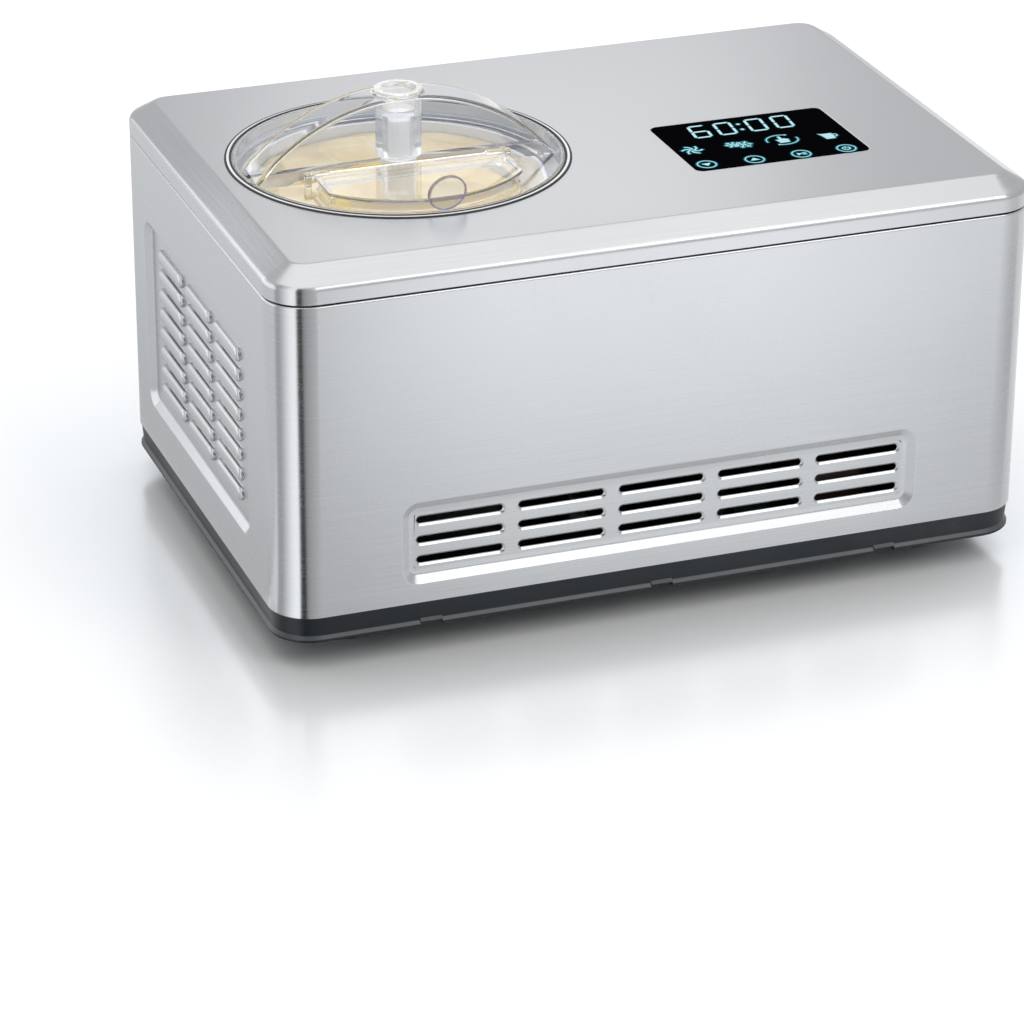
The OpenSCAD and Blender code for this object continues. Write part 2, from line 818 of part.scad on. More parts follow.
module drive_bracket() {
    left = bowl_x - bridge_half;
    right = bowl_x + bridge_half;
    color(zinc) difference() {
        union() {
            box(left, right, -bridge_d/2, bridge_d/2, bridge_z, bridge_z + bridge_t);
            box(left, left + bridge_t, -bridge_d/2, bridge_d/2, floor_z, bridge_z + 1);
            box(right - bridge_t, right, -bridge_d/2, bridge_d/2, floor_z, bridge_z + 1);
            box(left - bridge_foot, left + 1, -bridge_d/2, bridge_d/2, floor_z, floor_z + bridge_t);
            box(right - 1, right + bridge_foot, -bridge_d/2, bridge_d/2, floor_z, floor_z + bridge_t);
        }
        at_bowl() rod(bush_r + hole_gap, bridge_z - 1, bridge_z + 2*bridge_t);
        at_case_screws() rod(screw_r + run_gap, bridge_z - 1, bridge_z + 2*bridge_t);
        at_bowl() translate([-sensor_x, 0, 0]) rod(sensor_r + 1, bridge_z - 1, bridge_z + 2*bridge_t);
    }
}

module case_plan() {
    r = 6;
    translate([(case_left + case_right)/2, (case_front + case_back)/2])
        rounded_rect(case_right - case_left, case_back - case_front, r);
}

module case_plan_inner() {
    r = 4;
    translate([(case_left + case_right)/2, (case_front + case_back)/2])
        rounded_rect(case_right - case_left - 2*case_wall, case_back - case_front - 2*case_wall, r);
}

module at_case_screws() {
    for (x = [case_left + 6, case_right - 6], y = [case_front + 6, case_back - 6])
        translate([x, y, 0]) children();
}

module gearbox_case() {
    case_top = bridge_z - cover_t;
    color(white_plastic) difference() {
        union() {
            difference() {
                translate([0, 0, case_z]) linear_extrude(case_top - case_z) case_plan();
                translate([0, 0, case_z + case_wall]) linear_extrude(case_h) case_plan_inner();
            }
            at_case_screws() rod(4, case_z, case_top);
            translate([idler_x, 0, 0]) rod(5, case_z, in_z - 0.3);
            at_bowl() rod(9, case_z, out_z - 0.3);
        }
        at_case_screws() rod(screw_r + run_gap, case_top - 12, case_top + 1);
        translate([idler_x, 0, 0]) rod(idler_pin_r + run_gap, case_z + 0.6, case_top);
        at_bowl() rod(shaft_r + run_gap, case_z + 1, case_top);
        translate([motor_x, motor_y, 0]) rod(mod_in*teeth_motor/2 + 2, case_z - 1, case_z + 5);
    }
}

module gearbox_cover() {
    color(white_plastic) difference() {
        translate([0, 0, bridge_z - cover_t]) linear_extrude(cover_t) case_plan();
        at_case_screws() rod(screw_r + run_gap, bridge_z - 5, bridge_z + 1);
        at_bowl() rod(bush_r + run_gap, bridge_z - 5, bridge_z + 1);
        translate([idler_x, 0, 0]) rod(idler_pin_r + run_gap, bridge_z - 5, bridge_z + 1);
    }
}

module gearbox_screws() {
    color(zinc) at_case_screws() {
        rod(screw_r, bridge_z - 12, bridge_z + bridge_t);
        rod(2.8, bridge_z + bridge_t, bridge_z + bridge_t + 1.8);
    }
}

module shaft_bush() {
    color(brass) at_bowl() pipe(shaft_r + run_gap, bush_r, bridge_z - cover_t, bush_top);
}

module shaft_seal() {
    color(rubber) at_bowl() pipe(bush_r + run_gap, seal_r, well_z - well_t, bush_top - 0.5);
}

module idler_pin() {
    color(zinc) translate([idler_x, 0, 0]) rod(idler_pin_r, case_z + 0.6, bridge_z);
}

module drive_shaft() {
    hex_r = (hex_af/2)/cos(30);
    hex_z = chimney_top - 4;
    color(zinc) at_bowl() {
        rod(shaft_r, case_z + 1, hex_z);
        translate([0, 0, hex_z]) cylinder(r = hex_r, h = socket_h + 6, $fn = 6);
    }
}

module output_gear() {
    color(white_plastic) at_bowl() difference() {
        union() {
            gear(mod_out, teeth_out, out_z, out_z + wheel_t, 180);
            rod(10, out_z, bridge_z - cover_t - 0.3);
        }
        rod(shaft_r, out_z - 1, bridge_z);
        for (a = [0:60:300]) rotate(a + 30) translate([mod_out*teeth_out/3, 0, 0])
            rod(5, out_z - 1, out_z + wheel_t + 1);
    }
}

module idler_gear() {
    color(white_plastic) translate([idler_x, 0, 0]) difference() {
        union() {
            gear(mod_in, teeth_mid_large, in_z, in_z + wheel_t, -90);
            gear(mod_out, teeth_mid_small, in_z + wheel_t - 0.5, out_z + wheel_t, 180/teeth_mid_small);
        }
        rod(idler_pin_r + run_gap, in_z - 1, bridge_z);
    }
}

module motor_can() {
    color(zinc) translate([motor_x, motor_y, 0]) difference() {
        rod(motor_r, motor_z, case_z - 2);
        rod(motor_r - 1.5, motor_z + 2, case_z);
        rod(rotor_shaft_r + run_gap, motor_z - 1, motor_z + 3);
    }
}

module motor_cap() {
    color(zinc) translate([motor_x, motor_y, 0])
        pipe(rotor_shaft_r + run_gap, motor_r, case_z - 2, case_z);
}

module motor_stator() {
    z0 = motor_z + 2;
    z1 = case_z - 2;
    color([0.45, 0.30, 0.22]) translate([motor_x, motor_y, 0]) difference() {
        union() {
            rod(motor_r - 1.5 - seat_gap, z0 + 5, z1 - 5);
            rod(motor_r - 5, z0 + 0.5, z1 - 0.5);
        }
        rod(rotor_r + 1, z0 - 1, z1 + 1);
    }
}

module motor_rotor() {
    color(zinc) translate([motor_x, motor_y, 0]) {
        rod(rotor_shaft_r, motor_z + 0.5, in_z + 0.5);
        rod(rotor_r, motor_z + 6, case_z - 6);
        gear(mod_in, teeth_motor, in_z, in_z + wheel_t, 90 + 180/teeth_motor);
    }
}

// ---- Compressor ----

module at_comp() { translate([comp_x, comp_y, 0]) children(); }

module compressor_shell() {
    mid_z = comp_z + comp_h/2;
    dome = 22;
    outline = concat([[0, comp_z]],
        [for (a = [-90:18:0]) [comp_r - dome + dome*cos(a), comp_z + dome + dome*sin(a)]],
        [[comp_r, mid_z - 2], [comp_r + comp_flange, mid_z - 2], [comp_r + comp_flange, mid_z + 2],
         [comp_r, mid_z + 2]],
        [for (a = [0:18:90]) [comp_r - dome + dome*cos(a), comp_z + comp_h - dome + dome*sin(a)]],
        [[0, comp_z + comp_h]]);
    color(black_paint) at_comp() {
        rotate_extrude() polygon(outline);
        translate([0, 0, discharge_z]) rod_x(stub_r, comp_r - 3, comp_r + stub_l);
        translate([0, 0, suction_z]) rod_y(stub_r, -comp_r - stub_l, 3 - comp_r);
        translate([0, 0, suction_z - 30]) rotate(-50) rod_x(3, comp_r - 3, comp_r + 14);
    }
}

module at_grommets() {
    for (sx = [-1, 1], sy = [-1, 1])
        translate([comp_x + sx*grommet_x, comp_y + sy*grommet_y, 0]) children();
}

module compressor_plate() {
    color(black_paint) difference() {
        at_comp() rounded_block(2*grommet_x + 18, 2*grommet_y + 18, 8, plate_z, comp_z);
        at_grommets() rod(5 + seat_gap, plate_z - 1, comp_z + 1);
    }
}

module compressor_grommets() {
    color(rubber) at_grommets() difference() {
        union() {
            rod(grommet_r, floor_z, plate_z);
            rod(5, plate_z - 1, comp_z + 0.4);
        }
        rod(2 + run_gap, floor_z - 1, comp_z + 1);
    }
}

module compressor_bolts() {
    color(zinc) at_grommets() {
        rod(2, floor_z, comp_z + 3);
        rod(6.5, comp_z + 0.4, comp_z + 1.4);
        translate([0, 0, comp_z + 1.4]) cylinder(r = 4, h = 3, $fn = 6);
    }
}

module terminal_cover() {
    color(dark_plastic) at_comp() difference() {
        box(-20, 20, comp_r - 12, comp_r + 12, discharge_z - 20, discharge_z + 14);
        rod(comp_r + 0.1, comp_z, comp_z + comp_h);
    }
}

// ---- Tubes ----

cond_mid_x = cond_x - cond_t/2;
cond_end_y = cond_y + cond_l/2 + 6;

module discharge_tube() {
    start = [comp_x + comp_r + stub_l, comp_y, discharge_z];
    end = [cond_mid_x, cond_end_y, cond_z + row_pitch*(cond_rows - 0.5)];
    color(copper) swept_tube(route(start, [start + [5, 0, 0], start + [16, 8, 2],
        [start[0] + 24, 80, discharge_z + 20], [start[0] + 40, 104, discharge_z + 50],
        end + [-14, 20, -12], end + [-3, 20, 0], end + [0, 6, 0]], end, 5), stub_r);
}

module suction_tube() {
    end = [comp_x, comp_y - comp_r - stub_l, suction_z];
    color(copper) swept_tube(route(evap_out, [evap_out + [0, -4, 0], evap_out + [4, -18, 0],
        [8, -44, evap_out[2] - 4], [34, -52, evap_out[2] - 14], [end[0] - 6, -50, suction_z + 12],
        end + [-1, -14, 1], end + [0, -6, 0]], end, 5), evap_r);
}

module liquid_tube() {
    start = [cond_mid_x, cond_end_y, cond_z + row_pitch/2];
    color(copper) swept_tube(route(start, [start + [0, 6, 0], start + [-4, 22, 0],
        [170, drier_y - 5, start[2] + 2], [135, drier_y + 1, drier_z], [drier_x1 + 6, drier_y, drier_z]],
        [drier_x1, drier_y, drier_z], 5), 3);
}

module filter_drier() {
    color(copper) translate([0, drier_y, drier_z]) {
        rod_x(drier_r, drier_x0 + 8, drier_x1 - 8);
        translate([drier_x1 - 8, 0, 0]) rotate([0, 90, 0]) cylinder(r1 = drier_r, r2 = 3.5, h = 8);
        translate([drier_x0 + 8, 0, 0]) rotate([0, -90, 0]) cylinder(r1 = drier_r, r2 = 2, h = 8);
    }
}

module drier_clip() {
    mid = (drier_x0 + drier_x1)/2;
    panel_y = inner_y - rear_step;
    color(zinc) difference() {
        union() {
            translate([0, drier_y, drier_z]) rod_x(drier_r + 1.6, mid - 8, mid + 8);
            box(mid - 8, mid + 8, drier_y, panel_y, drier_z - 2, drier_z + 2);
        }
        translate([0, drier_y, drier_z]) rod_x(drier_r + run_gap, mid - 10, mid + 10);
        box(mid - 10, mid + 10, drier_y - 20, drier_y - drier_r + 2, drier_z - 4, drier_z + 4);
    }
}

module capillary_tube() {
    loop_r = 9;
    loop_x = drier_x0 - 14;
    loops = [for (a = [30:30:750]) [loop_x - loop_r*sin(a), drier_y - 12 + loop_r*cos(a) + 3,
                                    drier_z + a*0.03]];
    color(copper) swept_tube(route([drier_x0, drier_y, drier_z], concat([[drier_x0 - 6, drier_y, drier_z]],
        loops, [[loop_x - 4, 96, drier_z + 28], [loop_x - 5, 60, evap_in[2] + 4],
                evap_in + [6, 34, 0], evap_in + [0.6, 14, 0], evap_in + [0, 6, 0]]), evap_in, 1), 1.2, 8);
}

// ---- Condenser and fan ----

module condenser_fins() {
    count = floor((cond_l - 2*end_t)/fin_pitch);
    color(aluminium) difference() {
        union() {
            for (k = [1:count - 1])
                translate([cond_x - cond_t, cond_y - count*fin_pitch/2 + k*fin_pitch - fin_t/2, cond_z])
                    cube([cond_t, fin_t, cond_h]);
            for (sy = [-1, 1])
                translate([cond_x - cond_t, cond_y + sy*(cond_l/2 - end_t/2) - end_t/2, floor_z])
                    cube([cond_t, end_t, cond_z + cond_h - floor_z]);
        }
        for (row = [0:cond_rows - 1])
            translate([cond_mid_x, 0, cond_z + row_pitch*(row + 0.5)])
                rod_y(cond_tube_r + run_gap, cond_y - cond_l, cond_y + cond_l);
    }
}

// Serpentine through the fins: rows to and fro along Y, with a half round bend between two rows
function serpentine() = let (reach = cond_l/2 + 1, bend = row_pitch/2) concat(
    [[cond_mid_x, cond_end_y, cond_z + bend]],
    [for (row = [0:cond_rows - 2]) let (s = row % 2 == 0 ? -1 : 1)
        each [for (a = [-90:30:90])
            [cond_mid_x, cond_y + s*(reach + bend*cos(a)), cond_z + row_pitch*(row + 1) + bend*sin(a)]]],
    [[cond_mid_x, cond_end_y, cond_z + row_pitch*(cond_rows - 0.5)]]);

module condenser_tube() {
    color(copper) swept_tube(serpentine(), cond_tube_r, 12);
}

module fan_shroud() {
    x_face = cond_x - cond_t;
    y0 = cond_y - cond_l/2;
    y1 = cond_y + cond_l/2;
    mount_x = fan_motor_x + fan_motor_l;
    color(dark_plastic) {
        difference() {
            union() {
                box(shroud_x, x_face, y0, y1, cond_z, cond_z + cond_h);
                translate([0, fan_y, fan_z])
                    rod_x(fan_r + duct_gap + shroud_t, shroud_x - duct_l, shroud_x + 1);
            }
            box(shroud_x + shroud_t, x_face + 1, y0 + shroud_t, y1 - shroud_t,
                cond_z + shroud_t, cond_z + cond_h - shroud_t);
            translate([0, fan_y, fan_z]) rod_x(fan_r + duct_gap, shroud_x - duct_l - 1, x_face - 1);
        }
        translate([0, fan_y, fan_z]) {
            for (a = [0:120:240]) rotate([a, 0, 0])
                box(mount_x, mount_x + 3, -4, 4, 12, fan_r + duct_gap + 1);
            for (a = [0:120:240]) rotate([a, 0, 0])
                box(mount_x, shroud_x - duct_l + 1, -4, 4, fan_r + duct_gap + 0.2,
                    fan_r + duct_gap + shroud_t - 0.1);
            difference() {
                rod_x(fan_motor_r, mount_x, mount_x + 3);
                rod_x(6, mount_x - 1, mount_x + 4);
            }
        }
    }
}

module fan_motor() {
    color(black_paint) translate([0, fan_y, fan_z]) difference() {
        union() {
            rod_x(fan_motor_r, fan_motor_x, fan_motor_x + fan_motor_l);
            rod_x(5.6, fan_motor_x + fan_motor_l - 1, fan_motor_x + fan_motor_l + 2);
        }
        rod_x(fan_shaft_r + run_gap, fan_motor_x + 6, fan_motor_x + fan_motor_l + 3);
    }
}

module fan_blades() {
    hub_x0 = shroud_x - duct_l + 1;
    hub_l = 12;
    color(black_paint) translate([0, fan_y, fan_z]) {
        rod_x(fan_shaft_r, fan_motor_x + 6.5, hub_x0 + 1);
        rod_x(14, hub_x0, hub_x0 + hub_l);
        intersection() {
            for (k = [0:fan_count - 1]) rotate([360*k/fan_count, 0, 0])
                translate([hub_x0 + hub_l/2, 0, 0]) rotate([0, 0, 30])
                    translate([-0.9, -13, 10]) cube([1.8, 26, fan_r]);
            rod_x(fan_r, hub_x0 - 2, hub_x0 + hub_l + 2);
        }
    }
}

// ---- Electrics ----

module power_board() {
    color(board_green) translate([board_x, board_y, 0]) {
        rounded_block(board_w, board_d, 3, board_z, board_z + board_t);
        for (sx = [-1, 1], sy = [-1, 1])
            translate([sx*(board_w/2 - 6), sy*(board_d/2 - 6), 0]) rod(3.5, floor_z, board_z + 0.1);
        box(-50, -36, -20, -4, board_z + board_t - 0.1, board_z + 18);
        box(-28, -10, -24, -8, board_z + board_t - 0.1, board_z + 16);
        box(-52, -20, 10, 20, board_z + board_t - 0.1, board_z + 12);
        translate([-2, 14, 0]) rod(8, board_z + board_t - 0.1, board_z + 26);
    }
}

module transformer() {
    color([0.35, 0.30, 0.12]) translate([board_x + 32, board_y, 0]) {
        box(-20, 20, -12, 12, board_z + board_t, board_z + 34);
        box(-13, 13, -18, 18, board_z + board_t + 4, board_z + 30);
    }
}

// ---- Bowl ----

module bowl_solid(grow) {
    cup(bowl_r_bot + grow, bowl_r_top + grow, bowl_z - grow, rim_z, bowl_edge + grow);
    translate([0, 0, rim_z - rim_roll]) rotate_extrude()
        translate([bowl_r_top - bowl_wall/2 + 0.3, 0]) circle(rim_roll + grow);
}

module bowl() {
    color(aluminium) at_bowl() difference() {
        union() {
            difference() {
                bowl_solid(0);
                cup(bowl_r_bot - bowl_wall, bowl_r_top - bowl_wall, bowl_z + bowl_wall, rim_z + 3,
                    bowl_edge - bowl_wall);
            }
            rod(chimney_in + chimney_t, bowl_z, chimney_top);
            pipe(bowl_r_bot - bowl_edge - 4, bowl_r_bot - bowl_edge - 1, well_z, bowl_z + 0.5);
        }
        rod(chimney_in, bowl_z - 1, chimney_top + 1);
    }
}

module bowl_lugs() {
    color(zinc) at_bowl() for (sx = [0, 1]) mirror([sx, 0, 0]) difference() {
        union() {
            box(lug_x, lug_x + lug_t, -lug_half, lug_half, rim_z - 9, pin_z + eye_r);
            box(lug_x - 6, lug_x + lug_t, -lug_half, lug_half, rim_z - 9, rim_z - 2*rim_roll - 0.5);
        }
        translate([0, 0, rim_z - 10])
            cylinder(r1 = bowl_r(rim_z - 10) + run_gap, r2 = bowl_r(rim_z) + run_gap, h = 10, $fn = 720);
        translate([0, 0, pin_z]) rod_x(pin_r, lug_x - 5, lug_x + 5);
    }
}

module bowl_pins() {
    color(zinc) at_bowl() for (sx = [0, 1]) mirror([sx, 0, 0]) translate([0, 0, pin_z]) {
        rod_x(pin_r, lug_x + 0.1, pin_reach);
        rod_x(2.8, pin_reach - pin_head, pin_reach);
    }
}

module bail() {
    bow_start = asin((eye_r - 0.4)/bail_r);
    color(zinc) at_bowl() translate([0, 0, pin_z]) {
        rotate(bow_start) rotate_extrude(angle = 180 - 2*bow_start)
            translate([bail_r, 0]) circle(bail_wire);
        for (sx = [0, 1]) mirror([sx, 0, 0]) difference() {
            rod_x(eye_r, eye_x, eye_x + 2*bail_wire);
            rod_x(pin_r + run_gap, eye_x - 1, eye_x + 2*bail_wire + 1);
        }
    }
}

// ---- Lid ----

// Outline of the refill flap seen from above, drawn in by a margin
module flap_plan(margin, back) {
    intersection() {
        circle(flap_r - margin);
        translate([-(flap_half - margin), -flap_r]) square([2*(flap_half - margin), flap_r - back]);
    }
}

module ridge_solid(inset, z0) {
    intersection() {
        translate([0, 0, crown_axis_z]) rod_y(crown_r - inset, inset - ridge_w/2, ridge_w/2 - inset);
        box(-crown_r, crown_r, -ridge_w, ridge_w, z0, crown_z + 1);
        rod(lid_r - lid_wall + 0.5 - inset, z0, crown_z + 1);
    }
}

module lid() {
    floor_z0 = lid_floor_top - lid_t;
    ear_x = flap_half + seat_gap;
    color(clear) at_bowl() difference() {
        union() {
            pipe(lid_r - lid_wall, lid_r, ledge_z, lid_rim_z);
            rod(lid_r - lid_wall + 0.1, floor_z0, lid_floor_top);
            ridge_solid(0, floor_z0);
            translate([0, 0, lid_floor_top - 0.5]) linear_extrude(collar_top - lid_floor_top + 0.5)
                flap_plan(collar_inset, flap_back);
            for (sx = [0, 1]) mirror([sx, 0, 0])
                box(ear_x, ear_x + ear_w, -hinge_y - knuckle_r, -hinge_y + knuckle_r,
                    lid_floor_top - 0.5, hinge_z + knuckle_r);
        }
        ridge_solid(lid_t, floor_z0 - 1);
        translate([0, 0, floor_z0 - 1]) linear_extrude(30)
            flap_plan(collar_inset + collar_t, flap_back + collar_t);
        rod(tube_r + run_gap, floor_z0 - 1, tube_top + 5);
        translate([0, -hinge_y, hinge_z]) rod_x(hinge_pin_r + run_gap, -ear_x - ear_w - 1, ear_x + ear_w + 1);
    }
}

module lid_tube() {
    color(clear) at_bowl() difference() {
        union() {
            rod(tube_r, tube_bottom, tube_top);
            rod(tube_r + 0.7, crown_z + 0.1, tube_top);
        }
        rod(tube_r - tube_wall, tube_top - cup_depth, tube_top + 1);
        rod(journal_r + 0.08, tube_bottom - 1, journal_top + 2);
    }
}

module refill_flap() {
    color(clear) at_bowl() difference() {
        union() {
            translate([0, 0, flap_z]) linear_extrude(flap_t) difference() {
                flap_plan(0, hinge_y);
                translate([0, -hinge_y]) square([2*flap_half - 2*knuckle_l, 0.4], center = true);
            }
            for (sx = [0, 1]) mirror([sx, 0, 0]) translate([0, -hinge_y, hinge_z])
                rod_x(knuckle_r, flap_half - knuckle_l, flap_half);
            translate([tab_x, -flap_r, lid_floor_top + seat_gap + tab_r])
                rod_y(tab_r, -tab_t, 0);
            box(tab_x - 4, tab_x + 4, -flap_r - 1, -flap_r + 3, flap_z, flap_z + flap_t);
        }
        for (sx = [0, 1]) mirror([sx, 0, 0]) translate([0, -hinge_y, hinge_z])
            rod_x(hinge_pin_r + run_gap, flap_half - knuckle_l - 1, flap_half + 1);
    }
}

module flap_pins() {
    color(clear) at_bowl() for (sx = [0, 1]) mirror([sx, 0, 0]) translate([0, -hinge_y, hinge_z])
        rod_x(hinge_pin_r, flap_half - knuckle_l + 1, flap_half + seat_gap + ear_w);
}

// ---- Dasher ----

module dasher_hub() {
    hex_r = (hex_af/2 + 0.1)/cos(30);
    color(white_plastic) at_bowl() difference() {
        union() {
            rod(hub_in + hub_wall, hub_z, hub_top - 6);
            translate([0, 0, hub_top - 6]) cylinder(r1 = hub_in + hub_wall, r2 = post_r, h = 6);
            rod(post_r, hub_top - 1, tube_bottom - 2);
            rod(journal_r, tube_bottom - 3, journal_top);
        }
        rod(hub_in, hub_z - 1, chimney_top + 1);
        translate([0, 0, chimney_top]) cylinder(r = hex_r, h = socket_h + 3, $fn = 6);
    }
}

module dasher_blades() {
    wall_low = bowl_r_bot - bowl_wall - blade_gap - 2;
    wall_high = bowl_r(rim_z - 24) - bowl_wall - blade_gap;
    low = hub_z;
    high = rim_z - 24;
    half = low + (high - low)*0.62;
    core = hub_in + hub_wall - 1;
    wall_half = wall_low + (wall_high - wall_low)*0.62;
    color(white_plastic) at_bowl() difference() {
        rotate([90, 0, 0]) linear_extrude(blade_t, center = true) difference() {
            polygon([[0, low], [wall_low - 8, low], [wall_low, low + 10],
                [wall_high, high], [wall_high - 8, high],
                     [post_r - 1, high - 22], [1 - post_r, half + 4], [-wall_half + 8, half],
                     [-wall_half, half - 8], [-wall_low, low + 10], [8 - wall_low, low]]);
            polygon([[core + 8, low + 8], [wall_low - 12, low + 8], [wall_low - 7, low + 14],
                     [wall_high - 9, high - 14], [core + 6, high - 36]]);
            polygon([[-core - 8, low + 8], [12 - wall_low, low + 8], [7 - wall_low, low + 14],
                     [9 - wall_half, half - 16], [-core - 6, half - 12]]);
        }
        rod(hub_in + hub_wall, low - 1, hub_top - 6);
        translate([0, 0, hub_top - 6]) cylinder(r1 = hub_in + hub_wall, r2 = post_r, h = 6);
        rod(post_r, hub_top - 0.1, tube_bottom);
    }
}

base_tray();
feet();
foot_screws();
housing_wrap();
rear_panel();
rear_screws();
cord_gland();
top_cover();
opening_ring();
ring_gasket();
display_glass();
display_carrier();
display_board();
display_screws();
cooling_well();
evaporator_coil();
foam_jacket();
bowl_sensor();
drive_bracket();
gearbox_case();
gearbox_cover();
gearbox_screws();
shaft_bush();
shaft_seal();
idler_pin();
motor_can();
motor_cap();
motor_stator();
compressor_shell();
compressor_plate();
compressor_grommets();
compressor_bolts();
terminal_cover();
discharge_tube();
suction_tube();
liquid_tube();
filter_drier();
drier_clip();
capillary_tube();
condenser_fins();
condenser_tube();
fan_shroud();
fan_motor();
power_board();
transformer();
bowl();
bowl_lugs();
bowl_pins();
bail();
lid();
lid_tube();
flap_pins();
refill_flap();
dasher_hub();
dasher_blades();
drive_shaft();
output_gear();
idler_gear();
motor_rotor();
fan_blades();
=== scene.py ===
"""Looks of a benchtop compressor ice cream maker: brushed steel case, clear lid, lit touch panel.

Every length is in millimetres in the row frame (X right, Y back, Z up, origin on the floor) and
becomes metres when a mesh is made.
"""

import json
import logging
import math
from collections.abc import Callable, Iterator, Mapping, Sequence
from dataclasses import dataclass
from enum import Enum

import bmesh
import bpy
import numpy as np
from mathutils import Matrix, Vector


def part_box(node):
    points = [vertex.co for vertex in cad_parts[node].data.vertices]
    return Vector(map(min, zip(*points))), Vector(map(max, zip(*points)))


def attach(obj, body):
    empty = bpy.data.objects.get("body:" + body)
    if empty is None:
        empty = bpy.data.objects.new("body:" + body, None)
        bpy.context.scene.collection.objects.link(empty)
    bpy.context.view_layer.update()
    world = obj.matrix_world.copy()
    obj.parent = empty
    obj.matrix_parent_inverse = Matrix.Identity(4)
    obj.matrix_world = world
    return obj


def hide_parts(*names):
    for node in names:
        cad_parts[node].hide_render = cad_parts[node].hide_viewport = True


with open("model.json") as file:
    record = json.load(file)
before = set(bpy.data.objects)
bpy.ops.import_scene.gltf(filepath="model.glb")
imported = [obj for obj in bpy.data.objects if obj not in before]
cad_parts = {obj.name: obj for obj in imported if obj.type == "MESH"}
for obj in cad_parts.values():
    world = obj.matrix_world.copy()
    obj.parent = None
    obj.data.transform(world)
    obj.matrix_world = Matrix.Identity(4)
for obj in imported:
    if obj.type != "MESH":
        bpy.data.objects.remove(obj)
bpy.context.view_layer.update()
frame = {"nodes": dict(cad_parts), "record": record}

MM = 0.001
WELD = 2e-6
COVER_GAP = 0.6
BOWL_SOCKET = 3.0
LOG = logging.getLogger("ice_cream_maker")

Pair = tuple[float, float]
Triple = tuple[float, float, float]
Quad = tuple[float, float, float, float]
Numbers = tuple[float, ...]
Pairs = tuple[Pair, ...]
Colour = Triple
Node = bpy.types.Node
Socket = bpy.types.NodeSocket
Outline = Callable[[float], np.ndarray]


# ---- Frame sizes ----


def node_box(name: str) -> tuple[np.ndarray, np.ndarray]:
    """Lowest and highest corner of a CAD node, in millimetres.

    Args:
        name: the node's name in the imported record.

    Returns:
        Two arrays of three numbers.
    """
    low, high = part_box(name)
    return np.array(low) / MM, np.array(high) / MM


@dataclass(frozen=True)
class Levels:
    """Sizes and places that the frame gives, in millimetres.

    The cover starts COVER_GAP over the wrap, and the bowl's floor lies BOWL_SOCKET over the
    lowest point of its node.
    """

    half_w: float
    half_d: float
    tray_z: float
    wrap_z: float
    wrap_top: float
    cover_z: float
    top_z: float
    bowl_x: float
    bowl_z: float
    rim_z: float
    crown_z: float
    corner_r: float = 22.8

    @classmethod
    def from_frame(cls) -> "Levels":
        """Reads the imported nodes' boxes.

        Returns:
            The levels.
        """
        wrap_low, wrap_high = node_box("housing_wrap")
        cover_high = node_box("top_cover")[1]
        bowl_low, bowl_high = node_box("bowl")
        return cls(
            half_w=wrap_high[0],
            half_d=wrap_high[1],
            tray_z=node_box("base_tray")[0][2],
            wrap_z=wrap_low[2],
            wrap_top=wrap_high[2],
            cover_z=wrap_high[2] + COVER_GAP,
            top_z=cover_high[2],
            bowl_x=(bowl_low[0] + bowl_high[0]) / 2,
            bowl_z=bowl_low[2] + BOWL_SOCKET,
            rim_z=bowl_high[2],
            crown_z=node_box("lid")[1][2],
        )


# ---- Shapes as arrays ----


def arc(centre: Sequence[float], radius: float, start: float, end: float, steps: int) -> np.ndarray:
    """Points on a circular arc: centre + radius * (cos a, sin a), a from start to end in degrees."""
    a = np.radians(np.linspace(start, end, steps + 1))
    return np.array(centre) + radius * np.stack([np.cos(a), np.sin(a)], -1)


def softened(
    corners: Sequence[Sequence[float]],
    radii: float | Sequence[float],
    steps: int = 4,
    closed: bool = False,
) -> np.ndarray:
    """A polyline in the plane with its corners rounded.

    Each corner's arc touches both legs at radius / tan(half the angle between them), about a
    centre on their bisector at radius / sin(the same half angle).

    Args:
        corners: the sharp polyline's points.
        radii: one radius, or one for each corner; 0 leaves a corner sharp.
        steps: segments of each arc.
        closed: whether the last point joins the first.

    Returns:
        The rounded polyline as an array of points.
    """
    sharp = np.asarray(corners, float)
    count = len(sharp)
    sizes = np.broadcast_to(np.asarray(radii, float), count)
    runs = []
    for i in range(count):
        corner = sharp[i]
        if sizes[i] <= 0 or (not closed and i in (0, count - 1)):
            runs.append(corner[None])
            continue
        back = sharp[i - 1] - corner
        ahead = sharp[(i + 1) % count] - corner
        back = back / np.linalg.norm(back)
        ahead = ahead / np.linalg.norm(ahead)
        half = math.acos(np.clip(back @ ahead, -1, 1)) / 2
        middle = corner + (back + ahead) / np.linalg.norm(back + ahead) * sizes[i] / math.sin(half)
        spoke = corner + back * sizes[i] / math.tan(half) - middle
        last = corner + ahead * sizes[i] / math.tan(half) - middle
        turn = math.atan2(spoke[0] * last[1] - spoke[1] * last[0], spoke @ last)
        t = np.linspace(0, turn, steps + 1)[:, None]
        side = np.array([-spoke[1], spoke[0]])
        runs.append(middle + spoke * np.cos(t) + side * np.sin(t))
    return np.concatenate(runs)


